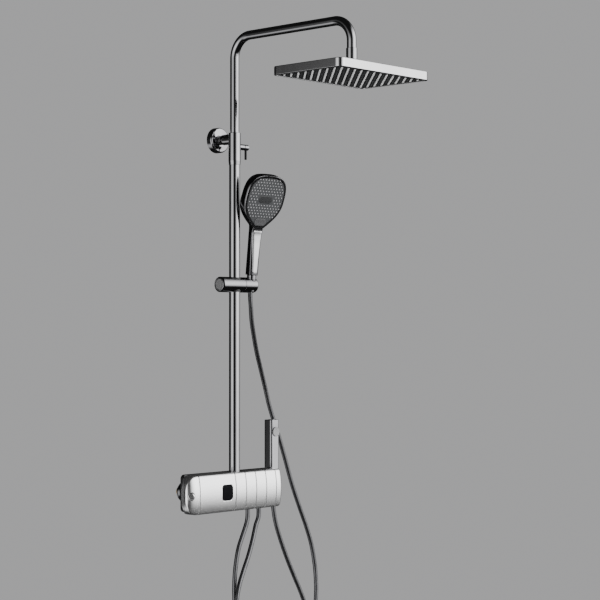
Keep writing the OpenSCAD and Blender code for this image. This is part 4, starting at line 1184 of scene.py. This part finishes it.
dress(join("gun_bracket", ring, arm), gunmetal, "gun_holder")

# %% [markdown]
# ## Light, floor and surroundings
# Polished plating shows its surroundings, so the light is drawn as a studio round the object: a
# broad soft box to the right of the camera, a narrow one to its left and a low card beyond that,
# all with soft edges, in a dark room. A direction's turn is its angle from the camera, to the
# right, and its rise is its angle above the horizon. The camera itself sees a plain backdrop.
# %% Studio
BACKDROP = 0.40
world = bpy.data.worlds.new("studio")
bpy.context.scene.world = world
world.use_nodes = True
tree = world.node_tree
tree.nodes.clear()
way, split, eye, seen, felt, pick, end = (tree.nodes.new("ShaderNode" + kind) for kind in (
    "TexCoord", "SeparateXYZ", "LightPath", "Background", "Background", "MixShader",
    "OutputWorld"))
tree.links.new(way.outputs["Generated"], split.inputs[0])
x, y, z = (Sock(tree, split.outputs[k]) for k in range(3))
east, north = np.sin(np.radians(CAMERA_YAW)), np.cos(np.radians(CAMERA_YAW))
to_camera = x * -east + y * -north
to_right = x * north + y * -east
turn = to_right.math("ARCTAN2", to_camera) * np.degrees(1)
rise = z.math("ARCSINE") * np.degrees(1)


def soft_step(value, dark, bright):
    """0 at dark, 1 at bright, an S-curve between; dark may be the larger."""
    node = tree.nodes.new("ShaderNodeMapRange")
    node.interpolation_type = "SMOOTHSTEP"
    for slot, v in zip(node.inputs, (value, dark, bright)):
        link(tree, slot, v)
    return Sock(tree, node.outputs[0])


def glow(turns, rises):
    """A patch of light: (dark, bright, bright, dark) in turn and in rise."""
    patch = soft_step(turn, turns[0], turns[1]) * soft_step(turn, turns[3], turns[2])
    return patch * soft_step(rise, rises[0], rises[1]) * soft_step(rise, rises[3], rises[2])


right_box = glow((16, 66, 80, 150), (-24, 8, 25, 62))
left_box = glow((-92, -48, -44, -8), (-50, -20, -8, 28))
low_card = glow((-125, -95, -88, -68), (-64, -42, -34, -14))
studio = right_box * 3.9 + left_box * 2.5 + low_card * 1.1 + 0.02
seen.inputs["Color"].default_value = (BACKDROP, BACKDROP, BACKDROP * 1.01, 1)
felt.inputs["Color"].default_value = (1, 1, 1, 1)
link(tree, felt.inputs["Strength"], studio)
for slot, source in zip(pick.inputs, (eye.outputs["Is Camera Ray"], felt.outputs[0],
                                      seen.outputs[0])):
    tree.links.new(source, slot)
tree.links.new(pick.outputs[0], end.inputs["Surface"])


def soft_box(name, place, size, power, aim):
    """A square area light that lights matt surfaces and doesn't show in polished ones."""
    data = bpy.data.lights.new(name, "AREA")
    data.shape, data.size, data.size_y, data.energy = "RECTANGLE", size, size, power
    lamp = bpy.data.objects.new(name, data)
    away = (Vector(place) - Vector(aim)).normalized().to_track_quat("Z", "Y")
    lamp.matrix_world = Matrix.Translation(place) @ away.to_matrix().to_4x4()
    lamp.visible_camera = lamp.visible_glossy = False
    bpy.context.collection.objects.link(lamp)
    return lamp


key = soft_box("key", (1.5, -2.6, 1.4), 2.4, 20, (0.05, -0.06, 0.4))
fill = soft_box("fill", (0.6, -1.6, -0.4), 1.2, 26, (0, -0.4, 1.0))
print("lights", key.name, fill.name, "and the studio")

# %% [markdown]
# The floor is a small pale sheet below the hoses, plain and rough.
# %% Floor
FLOOR_Z = -620
sheet = np.array([(-2000, -2400), (2000, -2400), (2000, 400), (-2000, 400)])
floor = add_mesh("floor", lift(sheet, FLOOR_Z), [[0, 1, 2, 3]])
pale = Finish("pale floor")
tone = pale.mix(pale.noise(3, 2), (0.62, 0.62, 0.62), (0.66, 0.66, 0.66))
pale.set(Base_Color=tone, Roughness=0.8)
floor.data.materials.append(pale.mat)
floor.visible_glossy = False
floor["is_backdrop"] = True

# %% [markdown]
# ## The size of what shows
# The box of what shows is printed, in metres.
# %% Size of what shows
low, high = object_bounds()
print("visual box", [round(v, 4) for v in low], [round(v, 4) for v in high])
